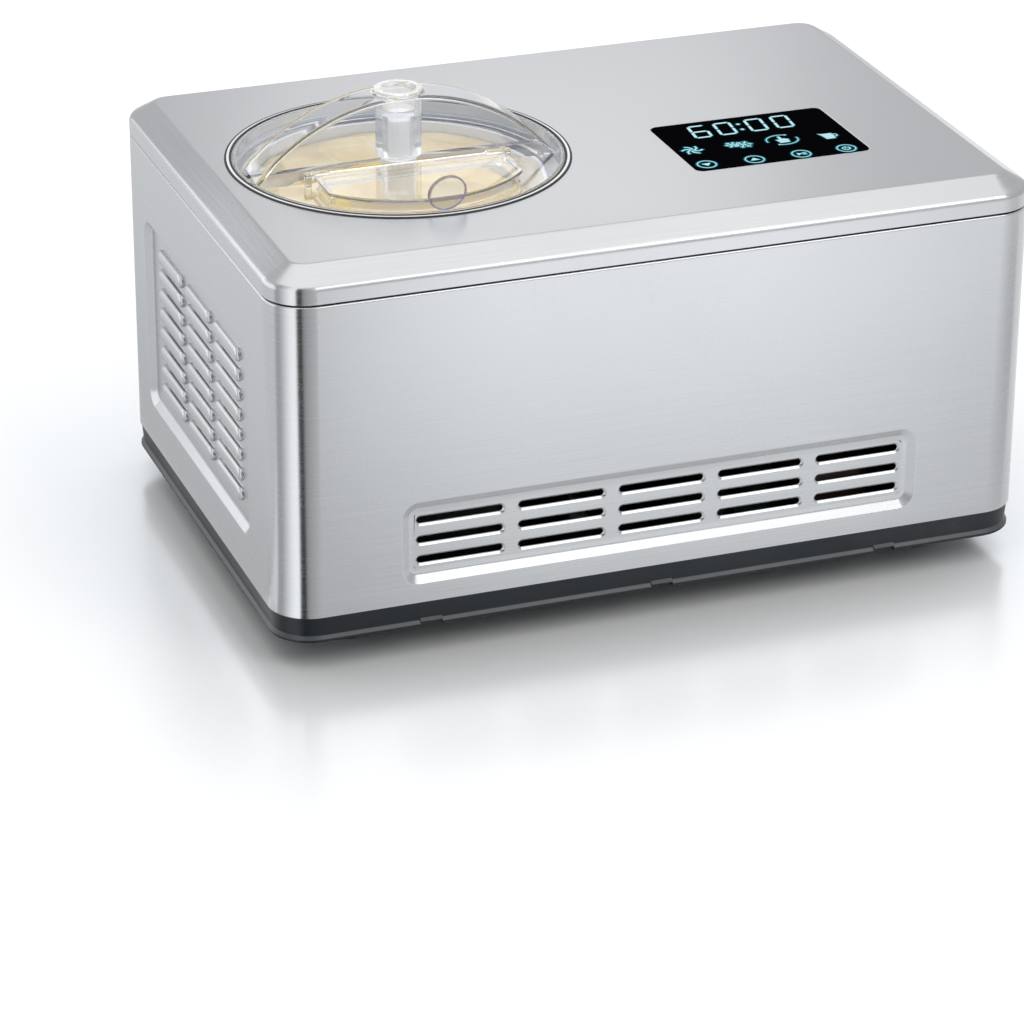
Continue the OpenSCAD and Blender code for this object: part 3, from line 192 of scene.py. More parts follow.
def rounded_ring(
    half_w: float,
    half_d: float,
    radius: float,
    across: Sequence[float] = (),
    steps: int = 6,
    centre: Sequence[float] = (0, 0),
) -> np.ndarray:
    """A rounded rectangle, anticlockwise from the middle of its right side.

    The upper half is the right middle, an arc, points on the top side and an arc; the lower half
    is the upper one turned by half a turn.

    Args:
        half_w: half its width.
        half_d: half its depth.
        radius: radius of its corners.
        across: places along the top and bottom sides that get a point, even about 0.
        steps: segments of each corner.
        centre: its middle.

    Returns:
        Points of the ring; the middle of the left side is at half their count.
    """
    w, d = half_w - radius, half_d - radius
    top = np.array([[x, half_d] for x in sorted(across, reverse=True)]).reshape(-1, 2)
    upper = np.concatenate(
        [[[half_w, 0.0]], arc((w, d), radius, 0, 90, steps), top, arc((-w, d), radius, 90, 180, steps)]
    )
    return np.concatenate([upper, -upper]) + np.array(centre)


def lifted(ring: np.ndarray, z: float | np.ndarray) -> np.ndarray:
    """A ring in the plane set at a height."""
    return np.concatenate([ring, np.broadcast_to(z, len(ring))[:, None]], -1)


def drawn(outline: Outline, profile: Sequence[Sequence[float]]) -> list[np.ndarray]:
    """An outline drawn in by each inset of a profile, set at that row's height."""
    return [lifted(outline(inset), z) for inset, z in profile]


def mirrored(upper: np.ndarray) -> np.ndarray:
    """A ring from its upper half: the half, then its mirror image back without the ends."""
    return np.concatenate([upper, (upper * (1, -1))[::-1][1:-1]])


def revolved(profile: np.ndarray, centre: Sequence[float], segments: int) -> np.ndarray:
    """A profile of radius and height turned about a vertical axis through a centre.

    Point (i, j) is (centre_x + r[i] cos a[j], centre_y + r[i] sin a[j], z[i]).

    Args:
        profile: rows of radius and height.
        centre: the axis's X and Y.
        segments: steps of the turn.

    Returns:
        Rows by columns by 3.
    """
    a = np.linspace(0, 2 * math.pi, segments, endpoint=False)
    r, z = profile[:, :1], profile[:, 1:]
    return np.stack([centre[0] + r * np.cos(a), centre[1] + r * np.sin(a), z + 0 * a], -1)


# ---- Meshes ----


class Shell:
    """Collects patches of points and faces, and makes one finished object of them."""

    def __init__(self) -> None:
        """Starts with no patches."""
        self.points: list[np.ndarray] = []
        self.faces: list[list[int]] = []
        self.count = 0

    def add(self, points: np.ndarray) -> np.ndarray:
        """Adds points.

        Args:
            points: an array whose last axis is X, Y, Z.

        Returns:
            The index of each point, in the array's own shape.
        """
        flat = points.reshape(-1, 3)
        index = np.arange(len(flat)) + self.count
        self.points.append(flat)
        self.count += len(flat)
        return index.reshape(points.shape[:-1])

    def grid(
        self,
        points: np.ndarray,
        ring: bool = False,
        loop: bool = False,
        keep: np.ndarray | None = None,
    ) -> np.ndarray:
        """Adds a grid of quads that faces outwards where columns run anticlockwise and rows rise.

        Args:
            points: rows by columns by 3.
            ring: whether the last column joins the first.
            loop: whether the last row joins the first.
            keep: which cells to make, rows by columns of cells.

        Returns:
            The points' indices.
        """
        index = self.add(points)
        across = np.concatenate([index, index[:, :1]], 1) if ring else index
        both = np.concatenate([across, across[:1]], 0) if loop else across
        quads = np.stack([both[:-1, :-1], both[:-1, 1:], both[1:, 1:], both[1:, :-1]], -1)
        wanted = np.ones(quads.shape[:2], bool) if keep is None else keep
        self.faces.extend(quads[wanted].tolist())
        return index

    def face(self, ring: np.ndarray, flip: bool = False) -> None:
        """Adds one flat face on a ring of points."""
        index = self.add(ring).tolist()
        self.faces.append(index[::-1] if flip else index)

    def loft(self, rings: Sequence[np.ndarray]) -> None:
        """Joins rings one after the other, open at both ends."""
        self.grid(np.stack(rings), ring=True)

    def stack(self, rings: Sequence[np.ndarray]) -> None:
        """Joins rings one above the other, with a flat face at each end.

        Args:
            rings: rings with the same count of points.
        """
        self.loft(rings)
        self.face(rings[0], flip=True)
        self.face(rings[-1])

    def turn(self, profile: np.ndarray, centre: Sequence[float], segments: int) -> None:
        """Turns a closed profile of radius and height about a vertical axis."""
        self.grid(revolved(profile, centre, segments), ring=True, loop=True)

    def band(
        self, outer: np.ndarray, inner: np.ndarray, halves: tuple[int, int] | None = None, flip: bool = False
    ) -> None:
        """Fills the flat band between two anticlockwise rings with two faces.

        Args:
            outer: the outer ring.
            inner: the inner ring, which starts on the same side.
            halves: the index of each ring's far side, by default half its count.
            flip: whether the faces look the other way.
        """
        a, b = self.add(outer).tolist(), self.add(inner).tolist()
        i, j = halves or (len(a) // 2, len(b) // 2)
        parts = [a[: i + 1] + b[: j + 1][::-1], a[i:] + a[:1] + b[:1] + b[j:][::-1]]
        self.faces.extend([p[::-1] for p in parts] if flip else parts)

    def pegs(self, ring: np.ndarray, middle_x: float, start: float, end: float) -> None:
        """Adds a plate of y and z outlines on each side of middle_x, from start to end away from it."""
        for x0, x1 in ((-end, -start), (start, end)):
            self.stack([np.insert(ring, 0, middle_x + x, axis=1) for x in (x0, x1)])

    def plate(self, ring: np.ndarray, z0: float, z1: float, hole: np.ndarray | None = None) -> None:
        """Adds a flat plate between two heights, with one hole or none.

        Args:
            ring: its outline in the plane, anticlockwise.
            z0: its lower face.
            z1: its upper face.
            hole: the hole's outline, anticlockwise.
        """
        low, high = lifted(ring, z0), lifted(ring, z1)
        if hole is None:
            self.stack([low, high])
            return
        self.loft([low, high])
        self.loft([lifted(hole, z1), lifted(hole, z0)])
        self.band(high, lifted(hole, z1))
        self.band(low, lifted(hole, z0), flip=True)

    def mesh(self, name: str, recalc: bool, angle: float) -> bpy.types.Object:
        """Makes the object: points welded, normals checked, edges over angle degrees kept sharp.

        Args:
            name: the object's name.
            recalc: whether the normals are worked out again.
            angle: the angle in degrees.

        Returns:
            The object.
        """
        data = bpy.data.meshes.new(name)
        data.from_pydata((np.concatenate(self.points) * MM).tolist(), [], self.faces)
        work = bmesh.new()
        work.from_mesh(data)
        bmesh.ops.remove_doubles(work, verts=work.verts, dist=WELD)
        bmesh.ops.dissolve_degenerate(work, edges=work.edges, dist=WELD)
        if recalc:
            bmesh.ops.recalc_face_normals(work, faces=work.faces)
        work.to_mesh(data)
        work.free()
        data.shade_smooth()
        data.set_sharp_from_angle(angle=math.radians(angle))
        shown = bpy.data.objects.new(name, data)
        bpy.context.scene.collection.objects.link(shown)
        return shown


@dataclass(frozen=True)
class Fit:
    """Where a piece belongs: its name, body, material slot and the nodes it stands for."""

    name: str
    body: str
    slot: str
    stands_for: tuple[str, ...] = ()


def install(
    shell: Shell,
    fit: Fit,
    material: bpy.types.Material,
    thickness: float = 0.0,
    recalc: bool = True,
    angle: float = 32.0,
) -> bpy.types.Object:
    """Turns a shell into a piece on its body.

    Args:
        shell: the collected patches.
        fit: name, body, slot and replaced nodes.
        material: the finish.
        thickness: sheet thickness added inwards, for an open surface.
        recalc: whether the normals are worked out again, for a closed mesh.
        angle: the angle in degrees over which an edge stays sharp.

    Returns:
        The object.
    """
    piece = shell.mesh(fit.name, recalc, angle)
    if thickness:
        wall = piece.modifiers.new("sheet", "SOLIDIFY")
        wall.thickness = thickness * MM
        wall.offset = -1
        wall.use_rim = True
    normals = piece.modifiers.new("normals", "WEIGHTED_NORMAL")
    normals.keep_sharp = True
    piece.data.materials.append(material)
    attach(piece, fit.body)
    if fit.stands_for:
        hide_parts(*fit.stands_for)
    LOG.info("%s on %s: %d faces", fit.name, fit.body, len(piece.data.polygons))
    return piece


def recolour(piece: bpy.types.Object, material: bpy.types.Material, chosen: Callable) -> None:
    """Gives some faces a second material.

    Args:
        piece: the piece.
        material: the second material.
        chosen: picks faces from the upward part of their normals and their middles' heights.
    """
    piece.data.materials.append(material)
    faces = piece.data.polygons
    normals, middles = np.empty(3 * len(faces)), np.empty(3 * len(faces))
    faces.foreach_get("normal", normals)
    faces.foreach_get("center", middles)
    wanted = chosen(normals[2::3], middles[2::3] / MM)
    faces.foreach_set("material_index", wanted.astype(np.int32))


# ---- Shader groups ----


class Nodes:
    """Adds shader nodes to a tree and joins them."""

    def __init__(self, tree: bpy.types.NodeTree) -> None:
        """Works on one tree."""
        self.tree = tree

    def new(self, kind: str, inputs: Mapping[str | int, object] | None = None, **values: object) -> Node:
        """Adds a node.

        Args:
            kind: the node's type.
            inputs: what each input takes, by its name or place: a value, or a socket to link.
            values: the node's own properties.

        Returns:
            The node.
        """
        node = self.tree.nodes.new(kind)
        for key, value in values.items():
            setattr(node, key, value)
        self.feed(node, inputs or {})
        return node

    def feed(self, node: Node, inputs: Mapping[str | int, object]) -> None:
        """Sets or links a node's inputs, by name or place.

        Args:
            node: the node.
            inputs: a value or a socket for each input.
        """
        for key, value in inputs.items():
            if isinstance(value, Socket):
                self.tree.links.new(value, node.inputs[key])
            else:
                node.inputs[key].default_value = value

    def math(self, operation: str, *inputs: float | Socket) -> Socket:
        """Adds a Math node on numbers or sockets, and returns its output."""
        return self.new("ShaderNodeMath", dict(enumerate(inputs)), operation=operation).outputs[0]

    def vector(self, operation: str, *inputs: object) -> Node:
        """Adds a Vector Math node on vectors or sockets."""
        return self.new("ShaderNodeVectorMath", dict(enumerate(inputs)), operation=operation)

    def noise(self, vector: Socket, scale: float, detail: float = 3.0) -> Socket:
        """Noise from 0 to 1 on a vector."""
        inputs = {"Vector": vector, "Scale": scale, "Detail": detail}
        return self.new("ShaderNodeTexNoise", inputs).outputs["Fac"]

    def spread(
        self, value: Socket, low: float, high: float, to_low: float = 0.0, to_high: float = 1.0
    ) -> Socket:
        """Maps low..high to to_low..to_high, clamped."""
        inputs = {"Value": value, "From Min": low, "From Max": high, "To Min": to_low, "To Max": to_high}
        return self.new("ShaderNodeMapRange", inputs).outputs["Result"]

    def blend(self, mask: Socket, low: Colour | Socket, high: Colour) -> Socket:
        """A colour between two, by a mask."""
        a, b = (c if isinstance(c, Socket) else (*c, 1.0) for c in (low, high))
        return self.new("ShaderNodeMix", {"Factor": mask, "A": a, "B": b}, data_type="RGBA").outputs["Result"]

    def mix(self, mask: Socket, low: Socket, high: Socket) -> Socket:
        """A shader between two, by a mask."""
        return self.new("ShaderNodeMixShader", {"Fac": mask, 1: low, 2: high}).outputs[0]


def new_group(name: str, inputs: dict[str, object], outputs: Sequence[str]) -> tuple[Nodes, dict, Node]:
    """Starts a shader group.

    Args:
        name: the group's name.
        inputs: default value of each input; a tuple makes a vector.
        outputs: names of the outputs, which are numbers.

    Returns:
        The nodes helper, the input sockets by name and the group's output node.
    """
    tree = bpy.data.node_groups.new(name, "ShaderNodeTree")
    for key, value in inputs.items():
        kind = "NodeSocketVector" if isinstance(value, tuple) else "NodeSocketFloat"
        tree.interface.new_socket(key, in_out="INPUT", socket_type=kind).default_value = value
    for key in outputs:
        tree.interface.new_socket(key, in_out="OUTPUT", socket_type="NodeSocketFloat")
    nodes = Nodes(tree)
    source = nodes.new("NodeGroupInput").outputs
    return nodes, {k: source[k] for k in inputs}, nodes.new("NodeGroupOutput")


def grain_group() -> bpy.types.NodeTree:
    """Brushed metal: long fine scratches and a broad drift, from noise stretched along the grain.

    Returns:
        The group.
    """
    inputs = {"Vector": (0.0, 0.0, 0.0), "Stretch": (1.0, 1.0, 1.0)}
    nodes, given, made = new_group("brushed_grain", inputs, ("Scratches", "Drift"))
    pulled = nodes.vector("MULTIPLY", given["Vector"], given["Stretch"]).outputs[0]
    fine = nodes.math("MULTIPLY", nodes.noise(pulled, 260.0, 5.0), 0.82)
    coarse = nodes.math("MULTIPLY", nodes.noise(pulled, 60.0, 3.0), 0.18)
    scratches = nodes.spread(nodes.math("ADD", fine, coarse), 0.32, 0.68)
    drift = nodes.spread(nodes.noise(given["Vector"], 6.0, 2.0), 0.3, 0.7)
    nodes.feed(made, {"Scratches": scratches, "Drift": drift})
    return nodes.tree


def skin_group() -> bpy.types.NodeTree:
    """Moulded or cast skin: fine pebbles for bump and soft mottling for colour and gloss.

    Returns:
        The group.
    """
    inputs = {"Vector": (0.0, 0.0, 0.0), "Size": 1.0}
    nodes, given, made = new_group("moulded_skin", inputs, ("Pebbles", "Mottle"))
    scaled = nodes.vector("SCALE", given["Vector"])
    nodes.feed(scaled, {"Scale": nodes.math("DIVIDE", 1.0, given["Size"])})
    pebbles = nodes.noise(scaled.outputs[0], 900.0, 2.0)
    mottle = nodes.spread(nodes.noise(scaled.outputs[0], 14.0, 4.0), 0.3, 0.7)
    nodes.feed(made, {"Pebbles": pebbles, "Mottle": mottle})
    return nodes.tree


def handling_group() -> bpy.types.NodeTree:
    """Handling marks: faint smudges and dust, a mask that is high on a few soft patches.

    Returns:
        The group.
    """
    nodes, given, made = new_group("handling_marks", {"Vector": (0.0, 0.0, 0.0)}, ("Marks",))
    patches = nodes.spread(nodes.noise(given["Vector"], 9.0, 5.0), 0.52, 0.78)
    specks = nodes.spread(nodes.noise(given["Vector"], 120.0, 2.0), 0.55, 0.8)
    marks = nodes.math("MULTIPLY", patches, nodes.spread(specks, 0.0, 1.0, 0.4, 1.0))
    nodes.feed(made, {"Marks": marks})
    return nodes.tree


class Grain(Enum):
    """How a metal's grain runs; the value stretches the pattern along each axis."""

    ALONG_WALL = (0.07, 0.07, 7.0)
    ALONG_TOP = (0.07, 7.0, 7.0)
    TURNED = (3.0, 0.02, 3.0)
    CAST = (1.0, 1.0, 1.0)


def new_material(name: str) -> tuple[bpy.types.Material, Nodes, Node]:
    """Starts a material that has only an output, and returns it with its nodes and that output.

    Args:
        name: the material's name.

    Returns:
        The material, its nodes and the output node.
    """
    made = bpy.data.materials.new(name)
    made.use_nodes = True
    made.node_tree.nodes.clear()
    nodes = Nodes(made.node_tree)
    return made, nodes, nodes.new("ShaderNodeOutputMaterial")


class Surface:
    """A material in the making: its nodes, Principled shader, place and shared patterns."""

    def __init__(self, name: str, groups: Mapping[str, bpy.types.NodeTree]) -> None:
        """Starts the material with a Principled shader on its output.

        Args:
            name: the material's name.
            groups: the shared shader groups by name.
        """
        self.material, self.nodes, self.output = new_material(name)
        self.groups = groups
        self.shader = self.nodes.new("ShaderNodeBsdfPrincipled")
        self.nodes.feed(self.output, {"Surface": self.shader.outputs["BSDF"]})
        self.place = self.nodes.new("ShaderNodeTexCoord").outputs["Object"]

    def pattern(self, group: str, **inputs: object) -> bpy.types.bpy_prop_collection:
        """Places a shared group, and returns its outputs."""
        given = {"Vector": self.place, **inputs}
        return self.nodes.new("ShaderNodeGroup", given, node_tree=self.groups[group]).outputs

    def varied(self, mask: Socket, low: float, high: float) -> Socket:
        """Maps a mask of 0 to 1 to low..high."""
        return self.nodes.spread(mask, 0, 1, low, high)

    def set(self, inputs: Mapping[str, object]) -> None:
        """Sets or links the shader's inputs."""
        self.nodes.feed(self.shader, inputs)

    def bump(self, height: Socket, depth: float) -> None:
        """Feeds a height into the shader's normal; depth is the relief in millimetres."""
        inputs = {"Strength": 1.0, "Distance": depth * MM, "Height": height}
        self.set({"Normal": self.nodes.new("ShaderNodeBump", inputs).outputs["Normal"]})

    def cover(self, mask: Socket, over: Socket) -> None:
        """Shows another shader in place of this one, by a mask."""
        mixed = self.nodes.mix(mask, self.shader.outputs["BSDF"], over)
        self.nodes.feed(self.output, {"Surface": mixed})


class Palette:
    """Builds each material once, and hands it out by its finish."""

    def __init__(self) -> None:
        """Builds the shared shader groups."""
        self.groups = {"grain": grain_group(), "skin": skin_group(), "handling": handling_group()}
        self.made: dict[Finish, bpy.types.Material] = {}

    def of(self, finish: "Finish") -> bpy.types.Material:
        """The material of a finish.

        Args:
            finish: the finish.

        Returns:
            The material, the same one each time.
        """
        if finish not in self.made:
            surface = Surface(finish.name, self.groups)
            finish.paint(surface, surface.nodes)
            self.made[finish] = surface.material
        return self.made[finish]


def toned(colour: Colour, factor: float | Colour, more: float = 0.0) -> Colour:
    """A colour times a factor, or times one for each channel, plus a number, at most 1."""
    return tuple(float(c) for c in np.minimum(1.0, np.array(colour) * factor + more))


@dataclass(frozen=True)
class Finish:
    """What a piece is made of."""

    name: str
    colour: Colour

    def paint(self, surface: Surface, nodes: Nodes) -> None:
        """Sets up the material.

        Args:
            surface: the material in the making.
            nodes: its nodes.
        """
        raise NotImplementedError


@dataclass(frozen=True)
class Metal(Finish):
    """A metal with a grain, a drift in tone and a few handling marks."""

    roughness: float
    grain: Grain = Grain.CAST
    contrast: float = 0.06
    relief: float = 0.004
    centre_x: float = 0.0
    streak: float = 0.0
    polish: float = 1.0

    def paint(self, surface: Surface, nodes: Nodes) -> None:
        """Principled metal whose colour, roughness and bump follow the grain.

        Args:
            surface: the material in the making.
            nodes: its nodes.
        """
        if self.grain is Grain.TURNED:
            surface.place = self.about_axis(nodes, surface.place)
        grain = surface.pattern("grain", Stretch=self.grain.value)
        marks = surface.pattern("handling")["Marks"]
        drift = nodes.math("MULTIPLY", grain["Drift"], 0.35)
        tone = nodes.math("ADD", nodes.math("MULTIPLY", grain["Scratches"], 0.65), drift)
        dark, light = toned(self.colour, 1 - self.contrast), toned(self.colour, 1 + self.contrast)
        give = min(0.03, 0.6 * self.contrast)
        rough = surface.varied(grain["Scratches"], self.roughness - give, self.roughness + give)
        surface.set(
            {
                "Base Color": nodes.blend(tone, dark, light),
                "Roughness": nodes.math("ADD", rough, nodes.math("MULTIPLY", marks, 0.06)),
                "Metallic": self.polish,
                "Anisotropic": self.streak,
                "Anisotropic Rotation": 0.25 if self.streak else 0.0,
            }
        )
        surface.bump(grain["Scratches"], self.relief)

    def about_axis(self, nodes: Nodes, place: Socket) -> Socket:
        """Radius and height about the part's axis, so that the grain runs round it.

        Args:
            nodes: the material's nodes.
            place: the place on the part.

        Returns:
            The vector for the grain.
        """
        moved = nodes.vector("SUBTRACT", place, (self.centre_x * MM, 0.0, 0.0)).outputs[0]
        flat = nodes.vector("MULTIPLY", moved, (1.0, 1.0, 0.0)).outputs[0]
        radius = nodes.vector("LENGTH", flat).outputs["Value"]
        height = nodes.new("ShaderNodeSeparateXYZ", {0: moved}).outputs["Z"]
        return nodes.new("ShaderNodeCombineXYZ", {"X": radius, "Z": height}).outputs[0]


@dataclass(frozen=True)
class Moulded(Finish):
    """A moulded plastic, rubber or paint: pebbled skin, soft mottling, a little dust."""

    roughness: float
    skin_size: float = 1.0
    relief: float = 0.01
    coat: float = 0.0
    dust: float = 0.05
    dust_colour: Colour = (0.6, 0.6, 0.58)
    shine: float = 0.5

    def paint(self, surface: Surface, nodes: Nodes) -> None:
        """Principled plastic whose tone and gloss follow the moulded skin.

        Args:
            surface: the material in the making.
            nodes: its nodes.
        """
        skin = surface.pattern("skin", Size=self.skin_size)
        marks = surface.pattern("handling")["Marks"]
        base = nodes.blend(skin["Mottle"], toned(self.colour, 0.93), toned(self.colour, 1.07, 0.004))
        dusty = nodes.math("MULTIPLY", marks, self.dust)
        low, high = self.roughness - 0.04, self.roughness + 0.06
        surface.set(
            {
                "Base Color": nodes.blend(dusty, base, self.dust_colour),
                "Roughness": surface.varied(skin["Mottle"], low, high),
                "Specular IOR Level": self.shine,
                "Coat Weight": self.coat,
                "Coat Roughness": 0.08,
            }
        )
        surface.bump(skin["Pebbles"], self.relief)


@dataclass(frozen=True)
class Clear(Finish):
    """Clear moulded plastic: it bends what is seen through it, with faint flow lines.

    Milk is the part of the light that it scatters; a ray caught between its faces passes
    straight on after as many turns as patience.
    """

    colour: Colour = (0.975, 0.982, 1.0)
    roughness: float = 0.02
    relief: float = 0.002
    ior: float = 1.5
    milk: float = 0.0
    patience: float = 4.5
    shade: Colour = (0.97, 0.975, 0.985)

    def paint(self, surface: Surface, nodes: Nodes) -> None:
        """Transmitting plastic; light for shadows, or caught between its faces, passes through.

        Args:
            surface: the material in the making.
            nodes: its nodes.
        """
        skin = surface.pattern("skin", Size=6.0)
        marks = surface.pattern("handling")["Marks"]
        surface.set(
            {
                "Base Color": nodes.blend(skin["Mottle"], toned(self.colour, 0.985), self.colour),
                "Roughness": surface.varied(marks, self.roughness, self.roughness + 0.05),
                "Transmission Weight": 1.0 - self.milk,
                "IOR": self.ior,
            }
        )
        surface.bump(skin["Pebbles"], self.relief)
        passing = nodes.new("ShaderNodeBsdfTransparent", {"Color": (*self.shade, 1.0)})
        path = nodes.new("ShaderNodeLightPath").outputs
        trapped = nodes.math("GREATER_THAN", path["Ray Depth"], self.patience)
        surface.cover(nodes.math("MAXIMUM", path["Is Shadow Ray"], trapped), passing.outputs["BSDF"])


@dataclass(frozen=True)
class Panel(Finish):
    """Black glass of the touch panel: black with no specular reflection, and a trace of fingerprints."""

    colour: Colour = (0.0015, 0.0015, 0.002)

    def paint(self, surface: Surface, nodes: Nodes) -> None:
        """Black with smudges in the roughness, and no specular reflection.

        Args:
            surface: the material in the making.
            nodes: its nodes.
        """
        marks = surface.pattern("handling")["Marks"]
        surface.set(
            {
                "Base Color": nodes.blend(marks, self.colour, toned(self.colour, 1.0, 0.002)),
                "Roughness": surface.varied(marks, 0.10, 0.22),
                "Specular IOR Level": 0.0,
            }
        )
        surface.bump(surface.pattern("skin", Size=20.0)["Pebbles"], 0.001)


@dataclass(frozen=True)
class Lit(Finish):
    """A lit sign under the glass, uneven as its light guide is."""

    off_colour: Colour = (0.003, 0.004, 0.004)

    def paint(self, surface: Surface, nodes: Nodes) -> None:
        """Emission with a soft unevenness.

        Args:
            surface: the material in the making.
            nodes: its nodes.
        """
        uneven = surface.pattern("skin")["Mottle"]
        surface.set(
            {
                "Emission Color": nodes.blend(uneven, toned(self.colour, 0.86), self.colour),
                "Emission Strength": 1.0,
                "Base Color": (*self.off_colour, 1.0),
                "Specular IOR Level": 0.0,
                "Roughness": 0.25,
            }
        )


@dataclass(frozen=True)
class Cream(Finish):
    """Churned vanilla ice cream: warm, soft and slightly grainy, with a wet sheen."""

    colour: Colour = (0.70, 0.57, 0.27)
    # Painted shade: the darker tint that the cream takes in its noise patches.
    painted_shade_tint: Colour = (0.84, 0.73, 0.54)

    def paint(self, surface: Surface, nodes: Nodes) -> None:
        """Scattering cream with fine ice grain and painted shade: darker, browner soft noise patches that
        stand in for the shading of its folds.

        Args:
            surface: the material in the making.
            nodes: its nodes.
        """
        mottle = surface.pattern("skin", Size=0.6)["Mottle"]
        # Painted shade: noise patches pull the colour towards the darker tint.
        painted_shade_patches = nodes.spread(nodes.noise(surface.place, 38.0, 3.0), 0.36, 0.62, 0.0, 0.85)
        tone = nodes.math("ADD", painted_shade_patches, nodes.math("MULTIPLY", mottle, 0.15))
        surface.set(
            {
                "Base Color": nodes.blend(tone, toned(self.colour, self.painted_shade_tint), self.colour),
                "Roughness": surface.varied(mottle, 0.38, 0.55),
                "Subsurface Weight": 0.1,
                "Subsurface Radius": (1.0, 0.6, 0.3),
                "Subsurface Scale": 0.003,
                "Specular IOR Level": 0.25,
            }
        )
        surface.bump(nodes.noise(surface.place, 160.0, 4.0), 0.6)


STEEL_COLOUR = (0.455, 0.46, 0.468)
BOWL_X = -98.0
STEEL = Metal("brushed_steel", STEEL_COLOUR, 0.25, Grain.ALONG_WALL, 0.05, relief=0.0006, streak=0.75)
TOP_STEEL = Metal("brushed_steel_top", STEEL_COLOUR, 0.29, Grain.ALONG_TOP, 0.012, relief=0.0001)
BASE_PLASTIC = Moulded("base_plastic", (0.006, 0.009, 0.012), 0.42, shine=0.25)
# Painted highlight: a lighter copy of the base plastic for the lip's chamfer, in place of the floor's
# reflection along it.
BASE_PAINTED_HIGHLIGHT = Moulded("base_lip_painted_highlight", (0.030, 0.035, 0.040), 0.35)
RING_GREY = Moulded("ring_plastic", (0.68, 0.69, 0.71), 0.28)
RUBBER = Moulded("rubber", (0.012, 0.012, 0.013), 0.62, relief=0.03)
CLEAR = Clear("clear_plastic")
CLEAR_TUBE = Clear("clear_tube", (0.995, 0.995, 1.0), 0.05, ior=1.36, milk=0.24)
# Painted highlight: frosted white plastic for the bright band along the collar's front.
CLEAR_FROSTED_HIGHLIGHT = Clear("clear_frosted_highlight", (1.0, 1.0, 1.0), 0.45, ior=1.45)
CLEAR_TINTED = Clear("clear_tinted", (0.55, 0.55, 0.86), 0.04, ior=1.3)
GLASS = Panel("display_glass")
SIGN_LIGHT = Lit("sign_light", (0.60, 0.90, 0.96))
SIGN_HALO = Lit("sign_halo", (0.0, 0.19, 0.24))
VANILLA = Cream("vanilla")
BOWL_ALUMINIUM = Metal(
    "bowl_aluminium", (0.62, 0.63, 0.66), 0.5, Grain.TURNED, centre_x=BOWL_X, polish=0.45
)

SLOT_FINISHES = {
    finish.name: finish
    for finish in (
        STEEL,
        BASE_PLASTIC,
        RING_GREY,
        RUBBER,
        CLEAR,
        GLASS,
        BOWL_ALUMINIUM,
        Metal("well_aluminium", (0.62, 0.63, 0.64), 0.38, Grain.TURNED, centre_x=BOWL_X),
        Metal("bright_steel", (0.66, 0.65, 0.64), 0.18),
        Metal("zinc", (0.58, 0.58, 0.60), 0.32, contrast=0.12),
        Moulded("white_plastic", (0.78, 0.78, 0.75), 0.32, coat=0.2),
        Moulded("foam", (0.72, 0.60, 0.36), 0.85, skin_size=3.0, relief=0.2),
        Metal("copper", (0.72, 0.36, 0.22), 0.26, contrast=0.10),
        Moulded("black_paint", (0.015, 0.015, 0.016), 0.28, coat=0.4),
        Moulded("black_plastic", (0.020, 0.020, 0.022), 0.42),
        Metal("brass", (0.68, 0.48, 0.20), 0.25),
        Moulded("circuit_board", (0.008, 0.045, 0.022), 0.4, skin_size=2.0, coat=0.1),
        # Painted shade: the winding is much darker than copper, so it reads as the shade behind the vent
        # slots.
        Moulded("winding", (0.05, 0.022, 0.012), 0.45, skin_size=0.5),
    )
}


# ---- Case ----


@dataclass(frozen=True)
class WallFrame:
    """A flat wall: the middle of its plan line, and the way that u runs seen from outside."""

    origin: Pair
    along: Pair

    def place(self, ring: np.ndarray, out: float) -> np.ndarray:
        """Points (u, v) at a distance out: origin + u along + out times the normal, v upwards.

        Args:
            ring: rows of u and v.
            out: distance out of the wall.

        Returns:
            Rows of X, Y and Z.
        """
        ax, ay = self.along
        x = self.origin[0] + ring[..., 0] * ax + out * ay
        y = self.origin[1] + ring[..., 0] * ay - out * ax
        return np.stack([x, y, ring[..., 1]], -1)

    def press(
        self,
        shell: Shell,
        border: np.ndarray,
        far: int,
        size: Sequence[float],
        centre: Sequence[float],
        profile: Sequence[Sequence[float]],
    ) -> np.ndarray:
        """Presses a rounded hollow: a flat border, then rings that shrink and sink.

        Args:
            shell: the mesh that it goes into.
            border: outline of the border, anticlockwise in u and v.
            far: index of the border's far side.
            size: half width, half height and corner radius of the hollow's line.
            centre: middle of the hollow.
            profile: each ring's distance outside that line and distance out of the wall.

        Returns:
            The last ring, in u and v.
        """
        rings = [rounded_ring(*(s + grow for s in size), centre=centre) for grow, _ in profile]
        rows = [self.place(ring, out) for ring, (_, out) in zip(rings, profile)]
        shell.band(self.place(border, profile[0][1]), rows[0], (far, len(rings[0]) // 2))
        shell.loft(rows)
        return rings[-1]


